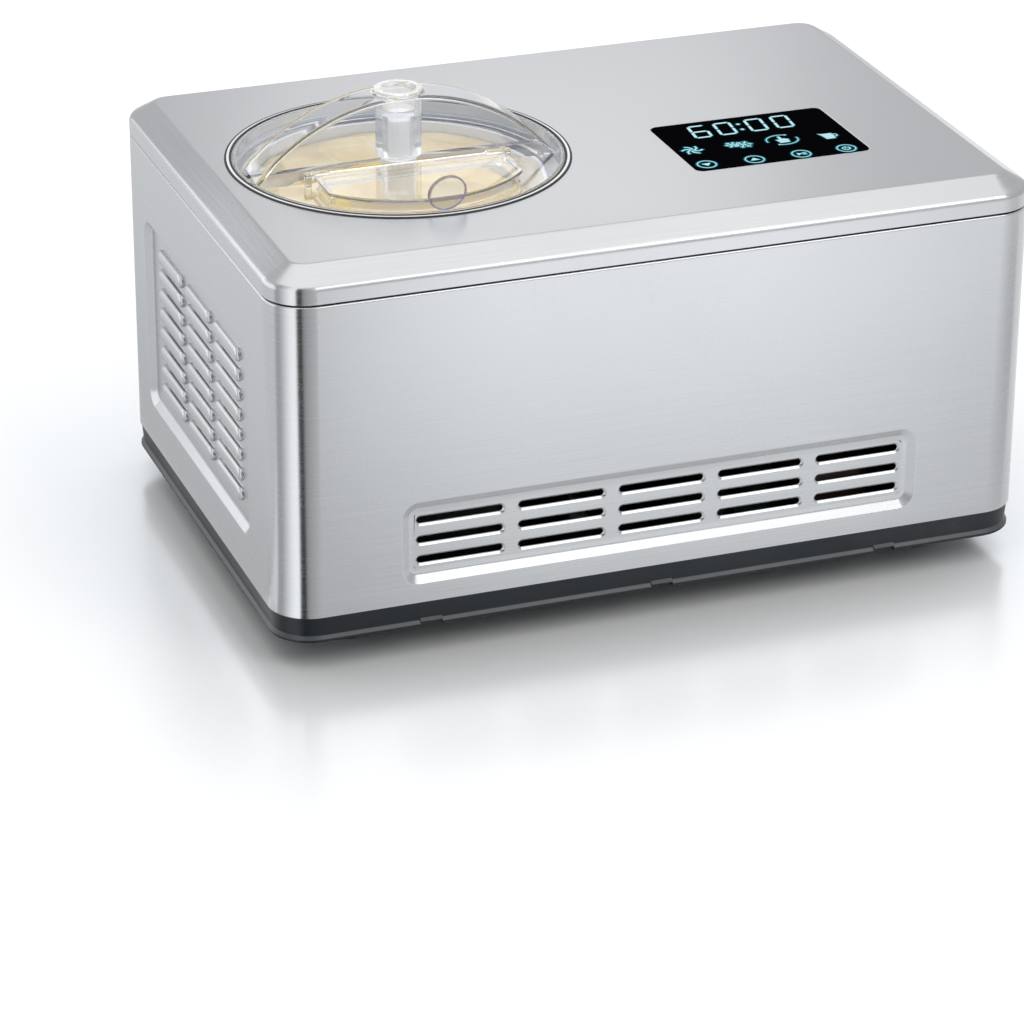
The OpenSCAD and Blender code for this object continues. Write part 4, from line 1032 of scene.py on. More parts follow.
@dataclass(frozen=True)
class Tiles:
    """A block of tiles on a wall, one opening in each; the end tiles reach less far outwards."""

    columns: int
    rows: int
    pitch_u: float
    pitch_v: float
    middle_v: float
    reach_u: float
    reach_v: float

    def lines(self) -> tuple[np.ndarray, np.ndarray]:
        """Dividing lines along u and v: halfway between openings, and the reach past the end ones.

        Returns:
            The lines along u, then those along v.
        """
        cuts = []
        sizes = ((self.columns, self.pitch_u, self.reach_u), (self.rows, self.pitch_v, self.reach_v))
        for count, pitch, reach in sizes:
            at = (np.arange(count + 1) - count / 2) * pitch
            at[[0, -1]] += np.array([1, -1]) * (pitch / 2 - reach)
            cuts.append(at)
        return cuts[0], cuts[1] + self.middle_v

    def each(self) -> Iterator[tuple[np.ndarray, np.ndarray]]:
        """Each opening's middle with its tile's corners, anticlockwise from the lower right.

        Yields:
            Middle and corners, opening by opening.
        """
        u, v = self.lines()
        for j in range(self.rows):
            for i in range(self.columns):
                middle_u = (i - (self.columns - 1) / 2) * self.pitch_u
                middle_v = (j - (self.rows - 1) / 2) * self.pitch_v + self.middle_v
                corners = [(u[i + 1], v[j]), (u[i + 1], v[j + 1]), (u[i], v[j + 1]), (u[i], v[j])]
                yield np.array([middle_u, middle_v]), np.array(corners)

    def outline(self) -> tuple[np.ndarray, int]:
        """Ring round the block with a point at each tile's corner, and the index of its far side.

        Returns:
            The ring and the far side's index.
        """
        u, v = self.lines()
        k = self.rows // 2
        right = np.stack([np.full(len(v), u[-1]), v], -1)
        left = np.stack([np.full(len(v), u[0]), v[::-1]], -1)
        top = np.stack([u[::-1], np.full(len(u), v[-1])], -1)[1:]
        bottom = np.stack([u, np.full(len(u), v[0])], -1)[1:-1]
        ring = np.concatenate([right[k:], top, left[1:], bottom, right[:k]])
        far = int(np.argmin(np.abs(ring - (u[0], v[k])).sum(-1)))
        return ring, far


@dataclass(frozen=True)
class Field:
    """A vent field: the cells it takes out of its wall, its own size, its openings and slope.

    cut is half width, lower, middle and upper edge of the cells; size is half width, half height
    and corner radius; slope is the section of its side, as distance outside the field's line and
    distance out, and its last row is the field's floor.
    """

    cut: Quad
    size: Triple
    middle: float
    tiles: Tiles
    slope: Pairs

    @property
    def floor(self) -> float:
        """Distance out of the field's floor."""
        return self.slope[-1][1]

    def add(self, shell: Shell, wall: WallFrame) -> None:
        """A flat frame, a rounded slope down, and a flat floor up to the block of tiles.

        Args:
            shell: the mesh that it goes into.
            wall: the wall it is pressed into.
        """
        half, low, mid, high = self.cut
        border = np.array([(half, mid), (half, high), (-half, high), (-half, mid), (-half, low), (half, low)])
        profile = softened(self.slope, [0, 1.6, 3.0, 0], 7)
        ring = wall.press(shell, border, 3, self.size, (0, self.middle), profile)
        block, far = self.tiles.outline()
        shell.band(wall.place(ring, self.floor), wall.place(block, self.floor), (len(ring) // 2, far))


FRONT_FIELD = Field(
    cut=(150.0, 38.0, 51.0, 90.0),
    size=(145.0, 22.5, 8.5),
    middle=64.0,
    tiles=Tiles(5, 3, 56.5, 11.4, 64.0, 25.5, 3.6),
    slope=((2.6, 0.0), (1.2, 0.0), (-3.6, -3.0), (-6.3, -3.5)),
)
SIDE_FIELD = Field(
    cut=(100.0, 51.0, 90.0, 167.0),
    size=(95.0, 54.0, 8.0),
    middle=109.0,
    tiles=Tiles(3, 8, 53.0, 11.4, 109.7, 23.0, 4.6),
    slope=((2.6, 0.0), (1.4, 0.0), (-2.8, -3.5), (-4.6, -3.5)),
)


@dataclass
class HousingWrap:
    """The brushed wrap: one sheet bent round four corners, with pressed vent fields."""

    levels: Levels
    sheet: float = 1.0
    side_shift: float = 5.0
    flange_z: float = 194.7
    flange_w: float = 9.0
    top_bend: float = 1.5
    rear_x: Triple = (149.8, 171.6, 172.4)
    rear_step: float = 2.0
    front: Field = FRONT_FIELD
    side: Field = SIDE_FIELD
    slot_size: Pair = (47.0, 3.4)
    slot_edge: Pairs = (
        (1.6, 0.0),
        (1.35, -0.08),
        (0.45, -0.8),
        (0.1, -1.15),
        (0.0, -1.6),
    )
    hood_size: Triple = (45.0, 8.0, 2.7)
    hood_rim: float = 0.5
    hood_angles: Numbers = (0, 35, 58, 80, 100, 122, 142, 162, 180)
    turn_steps: int = 12

    def plan(self, inset: float) -> np.ndarray:
        """The sheet's line in the plan, anticlockwise from its rear left flange, drawn in.

        Args:
            inset: how far it is drawn in.

        Returns:
            Rows of X and Y.
        """
        levels, steps, shift = self.levels, self.turn_steps, self.side_shift
        r = levels.corner_r
        w, d = levels.half_w, levels.half_d
        cx, cy = w - r, d - r
        seam, jog, end = self.rear_x
        rear = [(seam, d - self.rear_step - inset), (jog, d - self.rear_step - inset), (end, d - inset)]
        side, front = self.side.cut[0], self.front.cut[0]
        parts = [
            [(-x, y) for x, y in rear],
            arc((-cx, cy), r - inset, 90, 180, steps),
            [(inset - w, shift + side), (inset - w, shift - side)],
            arc((-cx, -cy), r - inset, 180, 270, steps),
            [(-front, inset - d), (front, inset - d)],
            arc((cx, -cy), r - inset, 270, 360, steps),
            [(w - inset, shift - side), (w - inset, shift + side)],
            arc((cx, cy), r - inset, 0, 90, steps),
            rear[::-1],
        ]
        return np.concatenate(parts)

    def build(self, palette: Palette) -> None:
        """Makes the wrap with its three vent fields.

        Args:
            palette: the finishes.
        """
        shell = Shell()
        self.add_walls(shell)
        w, d = self.levels.half_w, self.levels.half_d
        front = WallFrame((0.0, -d), (1.0, 0.0))
        sides = (WallFrame((w, self.side_shift), (0.0, 1.0)), WallFrame((-w, self.side_shift), (0.0, -1.0)))
        self.front.add(shell, front)
        for wall in sides:
            self.side.add(shell, wall)
        for centre, tile in self.front.tiles.each():
            self.add_slot(shell, front, centre, tile)
        for wall in sides:
            for centre, tile in self.side.tiles.each():
                self.add_hood(shell, wall, centre, tile)
        fit = Fit("case_wrap", "housing", "brushed_steel", ("housing_wrap",))
        install(shell, fit, palette.of(STEEL), self.sheet, recalc=False, angle=40)

    def add_walls(self, shell: Shell) -> None:
        """The walls, with a rounded top edge that turns in to a flange, less the vents' cells.

        Args:
            shell: the mesh that it goes into.
        """
        levels, turn = self.levels, self.top_bend
        _, low, mid, high = self.front.cut
        heights = (levels.wrap_z, low, mid, high, self.side.cut[3], self.flange_z)
        rows = [(0.0, z) for z in heights]
        rows += arc((turn, levels.wrap_top - turn), turn, 180, 90, 4).tolist()
        rows.append((self.flange_w, levels.wrap_top))
        points = np.stack(drawn(self.plan, rows))
        keep = np.ones((len(rows) - 1, points.shape[1] - 1), bool)
        left = 3 + self.turn_steps + 1
        front = left + 2 + self.turn_steps + 1
        right = front + 2 + self.turn_steps + 1
        keep[1:3, front] = False
        keep[2:4, [left, right]] = False
        keep[5:, :2] = False
        keep[5:, -2:] = False
        shell.grid(points, keep=keep)

    def add_slot(self, shell: Shell, wall: WallFrame, centre: np.ndarray, tile: np.ndarray) -> None:
        """A tile with a round-ended slot whose edge is drawn inwards.

        Args:
            shell: the mesh that it goes into.
            wall: the wall.
            centre: the slot's middle.
            tile: the tile's corners.
        """
        length, height = self.slot_size
        size = (length / 2, height / 2, height / 2 - 0.02)
        profile = [(grow, self.front.floor + out) for grow, out in self.slot_edge]
        wall.press(shell, tile, 2, size, centre, profile)

    def add_hood(self, shell: Shell, wall: WallFrame, centre: np.ndarray, tile: np.ndarray) -> None:
        """A tile with a pressed louvre: a domed pill with a slit under its lower side.

        At distance u from the middle the pill reaches w = sqrt(r^2 - (|u| - straight)^2) up and
        down. Its section is v = -w cos(a), out = rise * (w / r)^0.7 * sin(a)^0.75, with a running
        from 0 at its lower edge to 180 degrees at its upper one. A narrow flat rim lies round it.

        Args:
            shell: the mesh that it goes into.
            wall: the wall.
            centre: the pill's middle.
            tile: the tile's corners.
        """
        length, height, rise = self.hood_size
        floor, rim = self.side.floor, self.hood_rim
        r = height / 2
        straight = length / 2 - r
        end = straight + r * np.sin(np.radians(np.linspace(0, 90, 7)))
        inner = straight - np.array([2.0, 8.0])
        u = np.concatenate([-end[::-1], -inner, [0.0], inner[::-1], end])
        w = np.sqrt(np.maximum(0.0, r * r - np.maximum(0.0, np.abs(u) - straight) ** 2))
        pill = mirrored(np.stack([u, w], -1)[::-1]) + centre
        grown = np.stack([u, w * (r + rim) / r], -1)[::-1] * (1 + rim / (straight + r), 1)
        edge = mirrored(grown) + centre
        shell.band(wall.place(tile, floor), wall.place(edge, floor), (2, len(u) - 1))
        shell.loft([wall.place(edge, floor), wall.place(pill, floor)])
        a = np.radians(np.array(self.hood_angles))[:, None]
        place = np.stack([u + 0 * a, -w * np.cos(a)], -1) + centre
        out = floor + rise * (w / r) ** 0.7 * np.abs(np.sin(a)) ** 0.75
        keep = np.ones((len(a) - 1, len(u) - 1), bool)
        keep[0, np.abs(u[1:] + u[:-1]) / 2 < straight - 1.5] = False
        shell.grid(wall.place(place, out), keep=keep)


@dataclass
class TopCover:
    """The top: a bevelled steel cover with a round hole for the bowl and a window for the panel.

    edge is the section of a hole's turned edge, as growth of the hole and height over the top.
    """

    levels: Levels
    band_top: float = 214.0
    bevel_w: float = 14.0
    top_inset: float = 20.0
    low_edge: float = 0.35
    sheet: float = 0.9
    hole_r: float = 92.4
    split_x: float = 19.0
    window: Triple = (50.3, 35.3, 4.3)
    window_at: Pair = (94.0, -41.0)
    edge: Pairs = ((0.7, 0.0), (0.2, -0.2), (0.0, -0.7), (0.0, -2.2))
    flat: float = 0.985
    steps: int = 8

    def ring(self, inset: float) -> np.ndarray:
        """The cover's outline drawn in.

        Args:
            inset: how far it is drawn in.

        Returns:
            Rows of X and Y.
        """
        levels = self.levels
        w, d, r = levels.half_w - inset, levels.half_d - inset, levels.corner_r - inset
        return rounded_ring(w, d, r, (self.split_x, -self.split_x), self.steps)

    def build(self, palette: Palette) -> None:
        """Makes the band, bevel and flat top in one sheet.

        Args:
            palette: the finishes.
        """
        low, top, edge = self.levels.cover_z, self.levels.top_z, self.low_edge
        section = [(edge, low), (0.0, low + edge), (0.0, self.band_top), (self.bevel_w, top)]
        profile = softened([*section, (self.top_inset, top)], [0, 0, 4.5, 4.0, 0], 8)
        shell = Shell()
        shell.loft(drawn(self.ring, profile))
        self.add_top(shell, self.ring(profile[-1, 0]))
        fit = Fit("case_top", "housing", "brushed_steel", ("top_cover",))
        cover = install(shell, fit, palette.of(STEEL), self.sheet, recalc=False, angle=40)
        recolour(cover, palette.of(TOP_STEEL), lambda rise, _: rise > self.flat)

    def add_top(self, shell: Shell, ring: np.ndarray) -> None:
        """The flat top: two regions that meet at split_x, each with one hole and its turned edge.

        Args:
            shell: the mesh that it goes into.
            ring: the flat top's outline.
        """
        top = self.levels.top_z
        half = len(ring) // 2
        first = self.steps + 2
        last = half + self.steps + 3
        seam = [(self.split_x, 0.0)]
        left = np.concatenate([seam, ring[first : last + 1]])
        right = np.concatenate([ring[: first + 1], seam, ring[last:]])
        edge = [(grow, top + rise) for grow, rise in self.edge]
        holes = drawn(lambda g: arc((self.levels.bowl_x, 0), self.hole_r + g, 0, 360, 96)[:-1], edge)
        size = self.window
        windows = drawn(lambda g: rounded_ring(*(s + g for s in size), centre=self.window_at), edge)
        for outer, far, rings in ((left, half - first + 1, holes), (right, first + 1, windows)):
            shell.band(lifted(outer, top), rings[0], (far, len(rings[0]) // 2))
            shell.loft(rings)


@dataclass
class BaseTray:
    """The dark tray under the case: a stepped lip, a fine top edge and notches to lift it by.

    notch_lifts is how far each of the profile's first rows rises at a notch; painted_highlight_band
    picks the lip's chamfer faces that get a lighter copy of the base plastic, a painted highlight in
    place of the floor's reflection along the lip: its normals' least and greatest upward part, and its top.
    """

    levels: Levels
    inset: float = 0.3
    lip: float = 3.0
    lip_in: float = 1.8
    rim_in: float = 1.3
    rim_z: float = 38.0
    floor_z: float = 18.0
    wall: float = 3.0
    notches: Numbers = (-130.0, 0.0, 130.0)
    notch_half: float = 6.0
    notch_up: float = 2.2
    notch_lifts: Numbers = (2.2, 1.8, 1.3, 1.3, 0.9, 0.8)
    painted_highlight_band: Triple = (0.35, 0.95, 5.0)

    def ring(self, inset: float) -> np.ndarray:
        """The tray's outline drawn in, with points beside each notch.

        Args:
            inset: how far it is drawn in.

        Returns:
            Rows of X and Y.
        """
        levels = self.levels
        edges = [x + s * (self.notch_half + g) for x in self.notches for s in (-1, 1) for g in (0, 0.05)]
        r = levels.corner_r - inset
        return rounded_ring(levels.half_w - inset, levels.half_d - inset, r, edges, 8)

    def build(self, palette: Palette) -> None:
        """Stacks the outline from the floor's underside up the wall and down to the floor.

        Args:
            palette: the finishes.
        """
        z0, z1, side = self.levels.tray_z, self.levels.wrap_z, self.inset
        lip_z = z0 + self.lip
        lower = [(8.0, z0), (side + 0.5, z0), (side, z0 + 0.5), (side, lip_z - 1.4)]
        lower += [(side + 0.15, lip_z - 1.1), (self.lip_in - 0.2, lip_z + 0.2), (self.lip_in, lip_z + 0.6)]
        upper = [(side + 0.6, z1 - 1.4), (side + 0.2, z1 - 0.5), (side + 0.5, z1), (self.rim_in, z1)]
        inside = [(self.rim_in, self.rim_z), (side + self.wall, self.rim_z), (side + self.wall, self.floor_z)]
        rings = drawn(self.ring, lower + upper + inside)
        for ring, up in zip(rings[1:], self.notch_lifts):
            front = ring[:, 1] < 10 - self.levels.half_d
            near = np.min(np.abs(ring[:, :1] - np.array(self.notches)), axis=1) < self.notch_half + 0.02
            ring[front & near, 2] = np.maximum(z0 + self.notch_up, ring[front & near, 2] + up)
        shell = Shell()
        shell.stack(rings)
        fit = Fit("base", "housing", "base_plastic", ("base_tray",))
        base = install(shell, fit, palette.of(BASE_PLASTIC))
        # Painted highlight: the lip's chamfer faces get the lighter base material in place of the floor's
        # reflection.
        low, high, top = self.painted_highlight_band
        edge = palette.of(BASE_PAINTED_HIGHLIGHT)
        recolour(base, edge, lambda rise, z: (rise > low) & (rise < high) & (z < z0 + top))


@dataclass
class Feet:
    """Four rubber feet with a grooved side and a screw well."""

    half_x: float = 164.5
    half_y: float = 105.0
    height: float = 15.5
    side: Pairs = (
        (6.5, 0.0),
        (11.4, 0.0),
        (12.1, 0.8),
        (12.3, 3.4),
        (11.8, 4.0),
        (12.4, 4.6),
        (12.6, 7.4),
        (12.1, 8.0),
        (12.7, 8.6),
    )
    bore: float = 1.9
    well: Pair = (6.5, 5.0)

    def build(self, palette: Palette) -> None:
        """Turns one profile of radius and height at each corner.

        Args:
            palette: the finishes.
        """
        h, (well_r, depth) = self.height, self.well
        top = [(13.0, h), (self.bore, h), (self.bore, h - depth), (well_r, h - depth)]
        profile = softened([*self.side, *top], 0.25, 2, closed=True)
        shell = Shell()
        for x in (-self.half_x, self.half_x):
            for y in (-self.half_y, self.half_y):
                shell.turn(profile, (x, y), 40)
        install(shell, Fit("rubber_feet", "housing", "rubber", ("feet",)), palette.of(RUBBER))


@dataclass
class OpeningRing:
    """The ring round the bowl's hole: a grey band between two dark beads.

    Each bead is a radius, a height over the top and the radius of its section.
    """

    levels: Levels
    inner: float = 87.3
    seat: float = 89.0
    outer: float = 92.0
    low: float = 196.0
    ledge: float = 213.0
    flange: float = 98.0
    beads: tuple[Triple, ...] = ((92.15, -0.1, 0.8), (89.75, 0.35, 0.72))
    segments: int = 160

    def build(self, palette: Palette) -> None:
        """Turns the ring's section and its two rubber beads about the bowl's axis.

        Args:
            palette: the finishes.
        """
        top, seat, outer = self.levels.top_z, self.seat, self.outer
        axis = (self.levels.bowl_x, 0.0)
        body = [(self.inner, self.low), (outer - 1, self.low), (outer - 1, top - 3.5)]
        flange = [(self.flange, top - 3.5), (self.flange, top - 1), (outer, top - 1)]
        crown = [(outer, top + 0.25), (outer - 0.35, top + 0.6), (seat + 0.35, top + 0.6), (seat, top + 0.25)]
        section = [*body, *flange, *crown, (seat, self.ledge), (self.inner, self.ledge)]
        shell = Shell()
        shell.turn(softened(section, 0.15, 2, closed=True), axis, self.segments)
        fit = Fit("bowl_opening_ring", "housing", "ring_plastic", ("opening_ring",))
        install(shell, fit, palette.of(RING_GREY))
        beads = Shell()
        for r, z, radius in self.beads:
            beads.turn(arc((r, top + z), radius, 0, 360, 12)[:-1], axis, self.segments)
        install(beads, Fit("ring_beads", "housing", "rubber"), palette.of(RUBBER))


# ---- Bowl and its filling ----


@dataclass
class Bowl:
    """The removable aluminium bowl with a rolled rim, foot ring and central chimney.

    chimney is its bore, its outer radius and its top; foot is the ring's two radii and the
    height of its underside.
    """

    levels: Levels
    low_r: float = 70.0
    high_r: float = 79.0
    wall: float = 1.2
    edge: float = 9.0
    roll: float = 1.3
    roll_at: float = 78.7
    chimney: Triple = (9.5, 11.5, 113.0)
    foot: Triple = (57.0, 60.0, 80.0)

    def build(self, palette: Palette) -> None:
        """Turns the bowl's closed section about its axis.

        Args:
            palette: the finishes.
        """
        z0, z1 = self.levels.bowl_z, self.levels.rim_z
        bore, outer, top = self.chimney
        foot_in, foot_out, foot_z = self.foot
        wall, edge = self.wall, self.edge
        outside = softened([(foot_out, z0), (self.low_r, z0), (self.high_r, z1 - 2.4)], [0, edge, 0], 8)
        rolled = arc((self.roll_at, z1 - self.roll), self.roll, -60, 190, 12)
        inside = [(self.high_r - wall, z1 - 1.6), (self.low_r - wall, z0 + wall), (outer, z0 + wall)]
        inside = softened(inside, [0, edge - wall, 0], 8)
        post = [(outer, top - 0.5), (outer - 0.5, top), (bore + 0.5, top), (bore, top - 0.5)]
        under = [(bore, z0), (foot_in, z0), (foot_in, foot_z), (foot_out, foot_z)]
        shell = Shell()
        profile = np.concatenate([outside, rolled, inside, post, under])
        shell.turn(profile, (self.levels.bowl_x, 0.0), 144)
        fit = Fit("ice_bowl", "bowl", "bowl_aluminium", ("bowl",))
        install(shell, fit, palette.of(BOWL_ALUMINIUM))


@dataclass
class IceCream:
    """Churned ice cream between the dasher's post and the bowl's wall."""

    levels: Levels
    inner: float = 10.6
    outer: float = 75.6
    under: float = 176.0
    level: float = 189.0
    mound: float = 5.0
    fold: float = 8.5
    fold_turns: float = 1.5
    fold_twist: float = 0.075
    bends: int = 6
    bend_length: float = 21.0
    ripples: int = 16
    ripple_sizes: Pair = (2.2, 6.5)
    ripple_part: float = 0.07
    seed: int = 7
    rings: int = 64
    spokes: int = 200

    def height(self, r: np.ndarray, a: np.ndarray) -> np.ndarray:
        """Height of the surface over its level.

        A low mound, folds that spiral outwards (one less a power of |sin| of the angle and the
        radius, bent by slow waves), and small waves of random direction.

        Args:
            r: radii.
            a: angles.

        Returns:
            Heights, in the shape of r and a.
        """
        rng = np.random.default_rng(self.seed)
        x, y = r * np.cos(a), r * np.sin(a)
        t = (r - self.inner) / (self.outer - self.inner)
        bend, small = 0.0, 0.0
        for _ in range(self.bends):
            angle, phase = rng.uniform(0, 2 * math.pi, 2)
            along = x * math.cos(angle) + y * math.sin(angle)
            bend = bend + np.sin(along / self.bend_length + phase)
        for _ in range(self.ripples):
            angle, phase = rng.uniform(0, 2 * math.pi, 2)
            size = rng.uniform(*self.ripple_sizes)
            along = x * math.cos(angle) + y * math.sin(angle)
            small = small + size * np.sin(along / size + phase)
        wave = np.sin(self.fold_turns * a + self.fold_twist * r + 0.5 * bend)
        folds = self.fold * (1 - np.abs(wave) ** 0.6) * np.sin(np.pi * t) ** 0.5
        mound = self.mound * np.sin(np.pi * np.clip(t * 1.05, 0, 1)) ** 0.8
        return mound + folds + self.ripple_part * small

    def build(self, palette: Palette) -> None:
        """Joins the displaced surface to a flat underside.

        Args:
            palette: the finishes.
        """
        r = np.linspace(self.inner, self.outer, self.rings)[::-1, None]
        a = np.linspace(0, 2 * math.pi, self.spokes, endpoint=False)[None, :]
        x = self.levels.bowl_x + r * np.cos(a)
        top = np.stack([x, r * np.sin(a), self.level + self.height(r, a)], -1)
        rows = np.concatenate([top[:1], top, top[-1:]])
        rows[0, :, 2] = self.under
        rows[-1, :, 2] = self.under
        shell = Shell()
        shell.grid(rows, ring=True, loop=True)
        install(shell, Fit("ice_cream", "bowl", "white_plastic"), palette.of(VANILLA), angle=180)


# ---- Lid ----

WINDOW_FAR = 11


def lid_window(half: float, radius: float, back: float, centre_x: float, count: int = 24) -> np.ndarray:
    """The flap's outline: a straight back, two straight sides and an arc about the bowl's axis.

    Args:
        half: half its width.
        radius: radius of its front arc.
        back: distance of its back edge in front of the axis.
        centre_x: X of the axis.
        count: segments of the front arc.

    Returns:
        The ring, anticlockwise from the middle of its right side; its far side is at WINDOW_FAR.
    """
    drop = math.sqrt(radius**2 - half**2)
    open_angle = math.degrees(math.asin(half / radius))
    front = arc((0, 0), radius, 270 - open_angle, 270 + open_angle, count)
    mid = -(back + drop) / 2
    corners = [(half, mid), (half, -back), (-half, -back), (-half, mid), *front]
    radii = [0, 5, 5, 0, 6] + [0] * (len(front) - 2) + [6]
    return softened(corners, radii, 4, closed=True) + np.array([centre_x, 0.0])


@dataclass
class Lid:
    """The clear lid: rim, floor, hollow ridge, collar round the refill hole and hinge ears.

    window is half width, front radius and back of the refill hole; an ear is its start and width
    along X, and its pin's y and z; the collar's bead is two radii and two heights, over an arc: a
    frosted strip on the collar's front whose whiteness is a painted highlight.
    foot is the section of the collar's foot, as distance inside the hole's line and height.
    """

    levels: Levels
    radius: float = 88.6
    wall: float = 1.8
    low: float = 213.0
    floor: float = 217.5
    sheet: float = 2.0
    ridge_half: float = 13.0
    ridge_r: float = 108.3
    ridge_edge: float = 2.6
    tube_r: float = 12.35
    window: Triple = (52.2, 69.7, 19.1)
    foot: Pairs = ((-1.3, 0.0), (-0.5, 0.12), (-0.1, 0.5), (0.0, 1.2))
    collar_top: float = 222.0
    ears: Quad = (54.3, 3.0, -16.2, 223.3)
    ear_half: float = 2.0
    stations: int = 22
    bead: Quad = (69.9, 70.9, 217.7, 222.0)
    bead_arc: Pair = (231.0, 309.0)

    @property
    def axis(self) -> np.ndarray:
        """The bowl's axis in the plan."""
        return np.array([self.levels.bowl_x, 0.0])

    @property
    def reach(self) -> float:
        """Distance from the axis at which the ridge's arc meets the floor."""
        return math.sqrt(self.ridge_r**2 - (self.floor - self.levels.crown_z + self.ridge_r) ** 2)

    def build(self, palette: Palette) -> None:
        """Makes the sheet of the floor and ridge, the solid rim and ears, and the collar's bead, a frosted
        strip whose whiteness is a painted highlight along its front.

        Args:
            palette: the finishes.
        """
        sheet, solid, bead = Shell(), Shell(), Shell()
        across, drop = self.section()
        self.add_ridge(sheet, across, drop)
        self.add_floor(sheet, across)
        fit = Fit("lid_dome", "lid", "clear_plastic", ("lid",))
        install(sheet, fit, palette.of(CLEAR), self.sheet, recalc=False, angle=40)
        self.add_rim(solid)
        self.add_ears(solid)
        install(solid, Fit("lid_rim", "lid", "clear_plastic"), palette.of(CLEAR))
        # Painted highlight: a frosted strip on the collar's front stands in for its bright refraction band.
        inner, outer, low, high = self.bead
        start, end = self.bead_arc
        strip = [arc(self.axis, outer, start, end, 40), arc(self.axis, inner, end, start, 40)]
        bead.plate(np.concatenate(strip), low, high)
        install(bead, Fit("collar_highlight_strip", "lid", "clear_plastic"), palette.of(CLEAR_FROSTED_HIGHLIGHT))

    def section(self) -> tuple[np.ndarray, np.ndarray]:
        """The ridge's section: places across it and how far each lies under its top.

        Returns:
            Places and depths.
        """
        edge, half = self.ridge_edge, self.ridge_half
        bend = arc((edge - half, -edge), edge, 180, 90, 5)
        left = np.concatenate([[(-half, -1e3)], bend, [(-half / 2.4, 0.0)]])
        right = left[::-1] * (-1, 1)
        whole = np.concatenate([left, [(0.0, 0.0)], right])
        return whole[:, 0], -whole[:, 1]

    def add_ridge(self, shell: Shell, across: np.ndarray, drop: np.ndarray) -> None:
        """Two wings that meet beside the tube.

        A wing's lines run from its outer end, where the arc meets the floor, to the tube's
        circle: x = end + t (circle - end); z is the arc's height less the section's drop, and
        never under the floor.

        Args:
            shell: the mesh that it goes into.
            across: places across the ridge.
            drop: how far each lies under its top.
        """
        axis_z = self.levels.crown_z - self.ridge_r
        circle = np.sqrt(np.maximum(0.0, self.tube_r**2 - across**2))
        t = np.linspace(0, 1, self.stations)[:, None] ** 0.8
        for side in (-1, 1):
            x = side * (self.reach + t * (circle - self.reach))
            z = np.maximum(self.floor, axis_z + np.sqrt(self.ridge_r**2 - x**2) - drop)
            wing = np.stack([self.levels.bowl_x + x, across + 0 * x, z], -1).transpose(1, 0, 2)
            shell.grid(wing[:, ::-1] if side > 0 else wing)

    def add_floor(self, shell: Shell, across: np.ndarray) -> None:
        """The floor in front of the ridge, with the refill hole and its collar, and behind it.

        Args:
            shell: the mesh that it goes into.
            across: places across the ridge.
        """
        r = self.radius - self.wall
        x = self.reach * (1 - np.linspace(0, 1, self.stations) ** 0.8)
        chord = np.concatenate([x, -x[::-1][1:]])
        near = across[across <= 0]
        line = np.stack([chord, np.full(len(chord), -self.ridge_half)], -1)
        right_end = np.stack([np.full(len(near), self.reach), near], -1)[1:][::-1]
        rim = arc((0, 0), r, 200, 340, 48)
        rise = arc((0, 0), r, 340, 360, 8)[1:]
        fall = arc((0, 0), r, 180, 200, 8)[:-1]
        back = np.concatenate([rise, right_end, line, right_end[::-1] * (-1, 1), fall])
        outer = np.concatenate([rim[-1:], back, rim[:-1]]) + self.axis
        half, radius, hinge = self.window
        top = self.collar_top
        rows = [*((g, self.floor + rise) for g, rise in self.foot), (0.0, top - 0.4), (0.3, top)]
        rings = drawn(lambda g: lid_window(half - g, radius - g, hinge + g, self.levels.bowl_x), rows)
        shell.loft(rings)
        shell.band(lifted(outer, self.floor), rings[0], (len(back) + 1, WINDOW_FAR))
        behind = self.axis - np.concatenate([back, rim])
        shell.face(lifted(behind, self.floor))

    def add_rim(self, shell: Shell) -> None:
        """The rim's closed section turned about the bowl's axis.

        Args:
            shell: the mesh that it goes into.
        """
        r, inner = self.radius, self.radius - self.wall
        top = self.levels.top_z + 1.0
        section = [(inner, self.low), (r, self.low), (r, top), (inner, top)]
        shell.turn(softened(section, [0.3, 0.3, 0.8, 0.8], 4, closed=True), self.axis, 160)

    def add_ears(self, shell: Shell) -> None:
        """Two ears that carry the flap's pins: a round-topped plate, given its thickness along X.

        Args:
            shell: the mesh that it goes into.
        """
        start, width, y, z = self.ears
        low, high = y - self.ear_half, y + self.ear_half
        top = z + self.ear_half
        corners = [(low, self.floor), (high, self.floor), (high, top), (low, top)]
        plate = softened(corners, [0, 0, 1.9, 1.9], 5, closed=True)
        shell.pegs(plate, self.levels.bowl_x, start, start + width)


@dataclass
class LidTube:
    """The clear filling tube in the crown of the lid."""

    levels: Levels
    radius: float = 12.3
    lip: float = 0.7
    low: float = 224.0
    bore: float = 6.08
    bore_top: float = 246.0
    cup: float = 8.6
    cup_floor: float = 249.5
    above: float = 1.5

    def build(self, palette: Palette) -> None:
        """Turns the tube's section: a bearing bore below, a cup above, a lip at the top.

        Args:
            palette: the finishes.
        """
        r, lip_r, top = self.radius, self.radius + self.lip, self.levels.crown_z + self.above
        outside = [(self.bore, self.low), (r, self.low), (r, top - 1.5), (lip_r, top - 1.3), (lip_r, top)]
        inside = [(self.cup + 1.1, top), (self.cup, top - 2.4), (self.cup, self.cup_floor)]
        section = [*outside, *inside, (0.0, self.cup_floor)]
        profile = softened(section, [0.3, 0.6, 0, 0.2, 0.5, 0.4, 0.8, 1.2, 0], 4)
        under = np.array([(0.0, self.bore_top), (self.bore, self.bore_top)])
        shell = Shell()
        rows = revolved(np.concatenate([under, profile]), (self.levels.bowl_x, 0.0), 96)
        shell.grid(rows, ring=True)
        fit = Fit("filling_tube", "lid", "clear_plastic", ("lid_tube",))
        install(shell, fit, palette.of(CLEAR_TUBE))


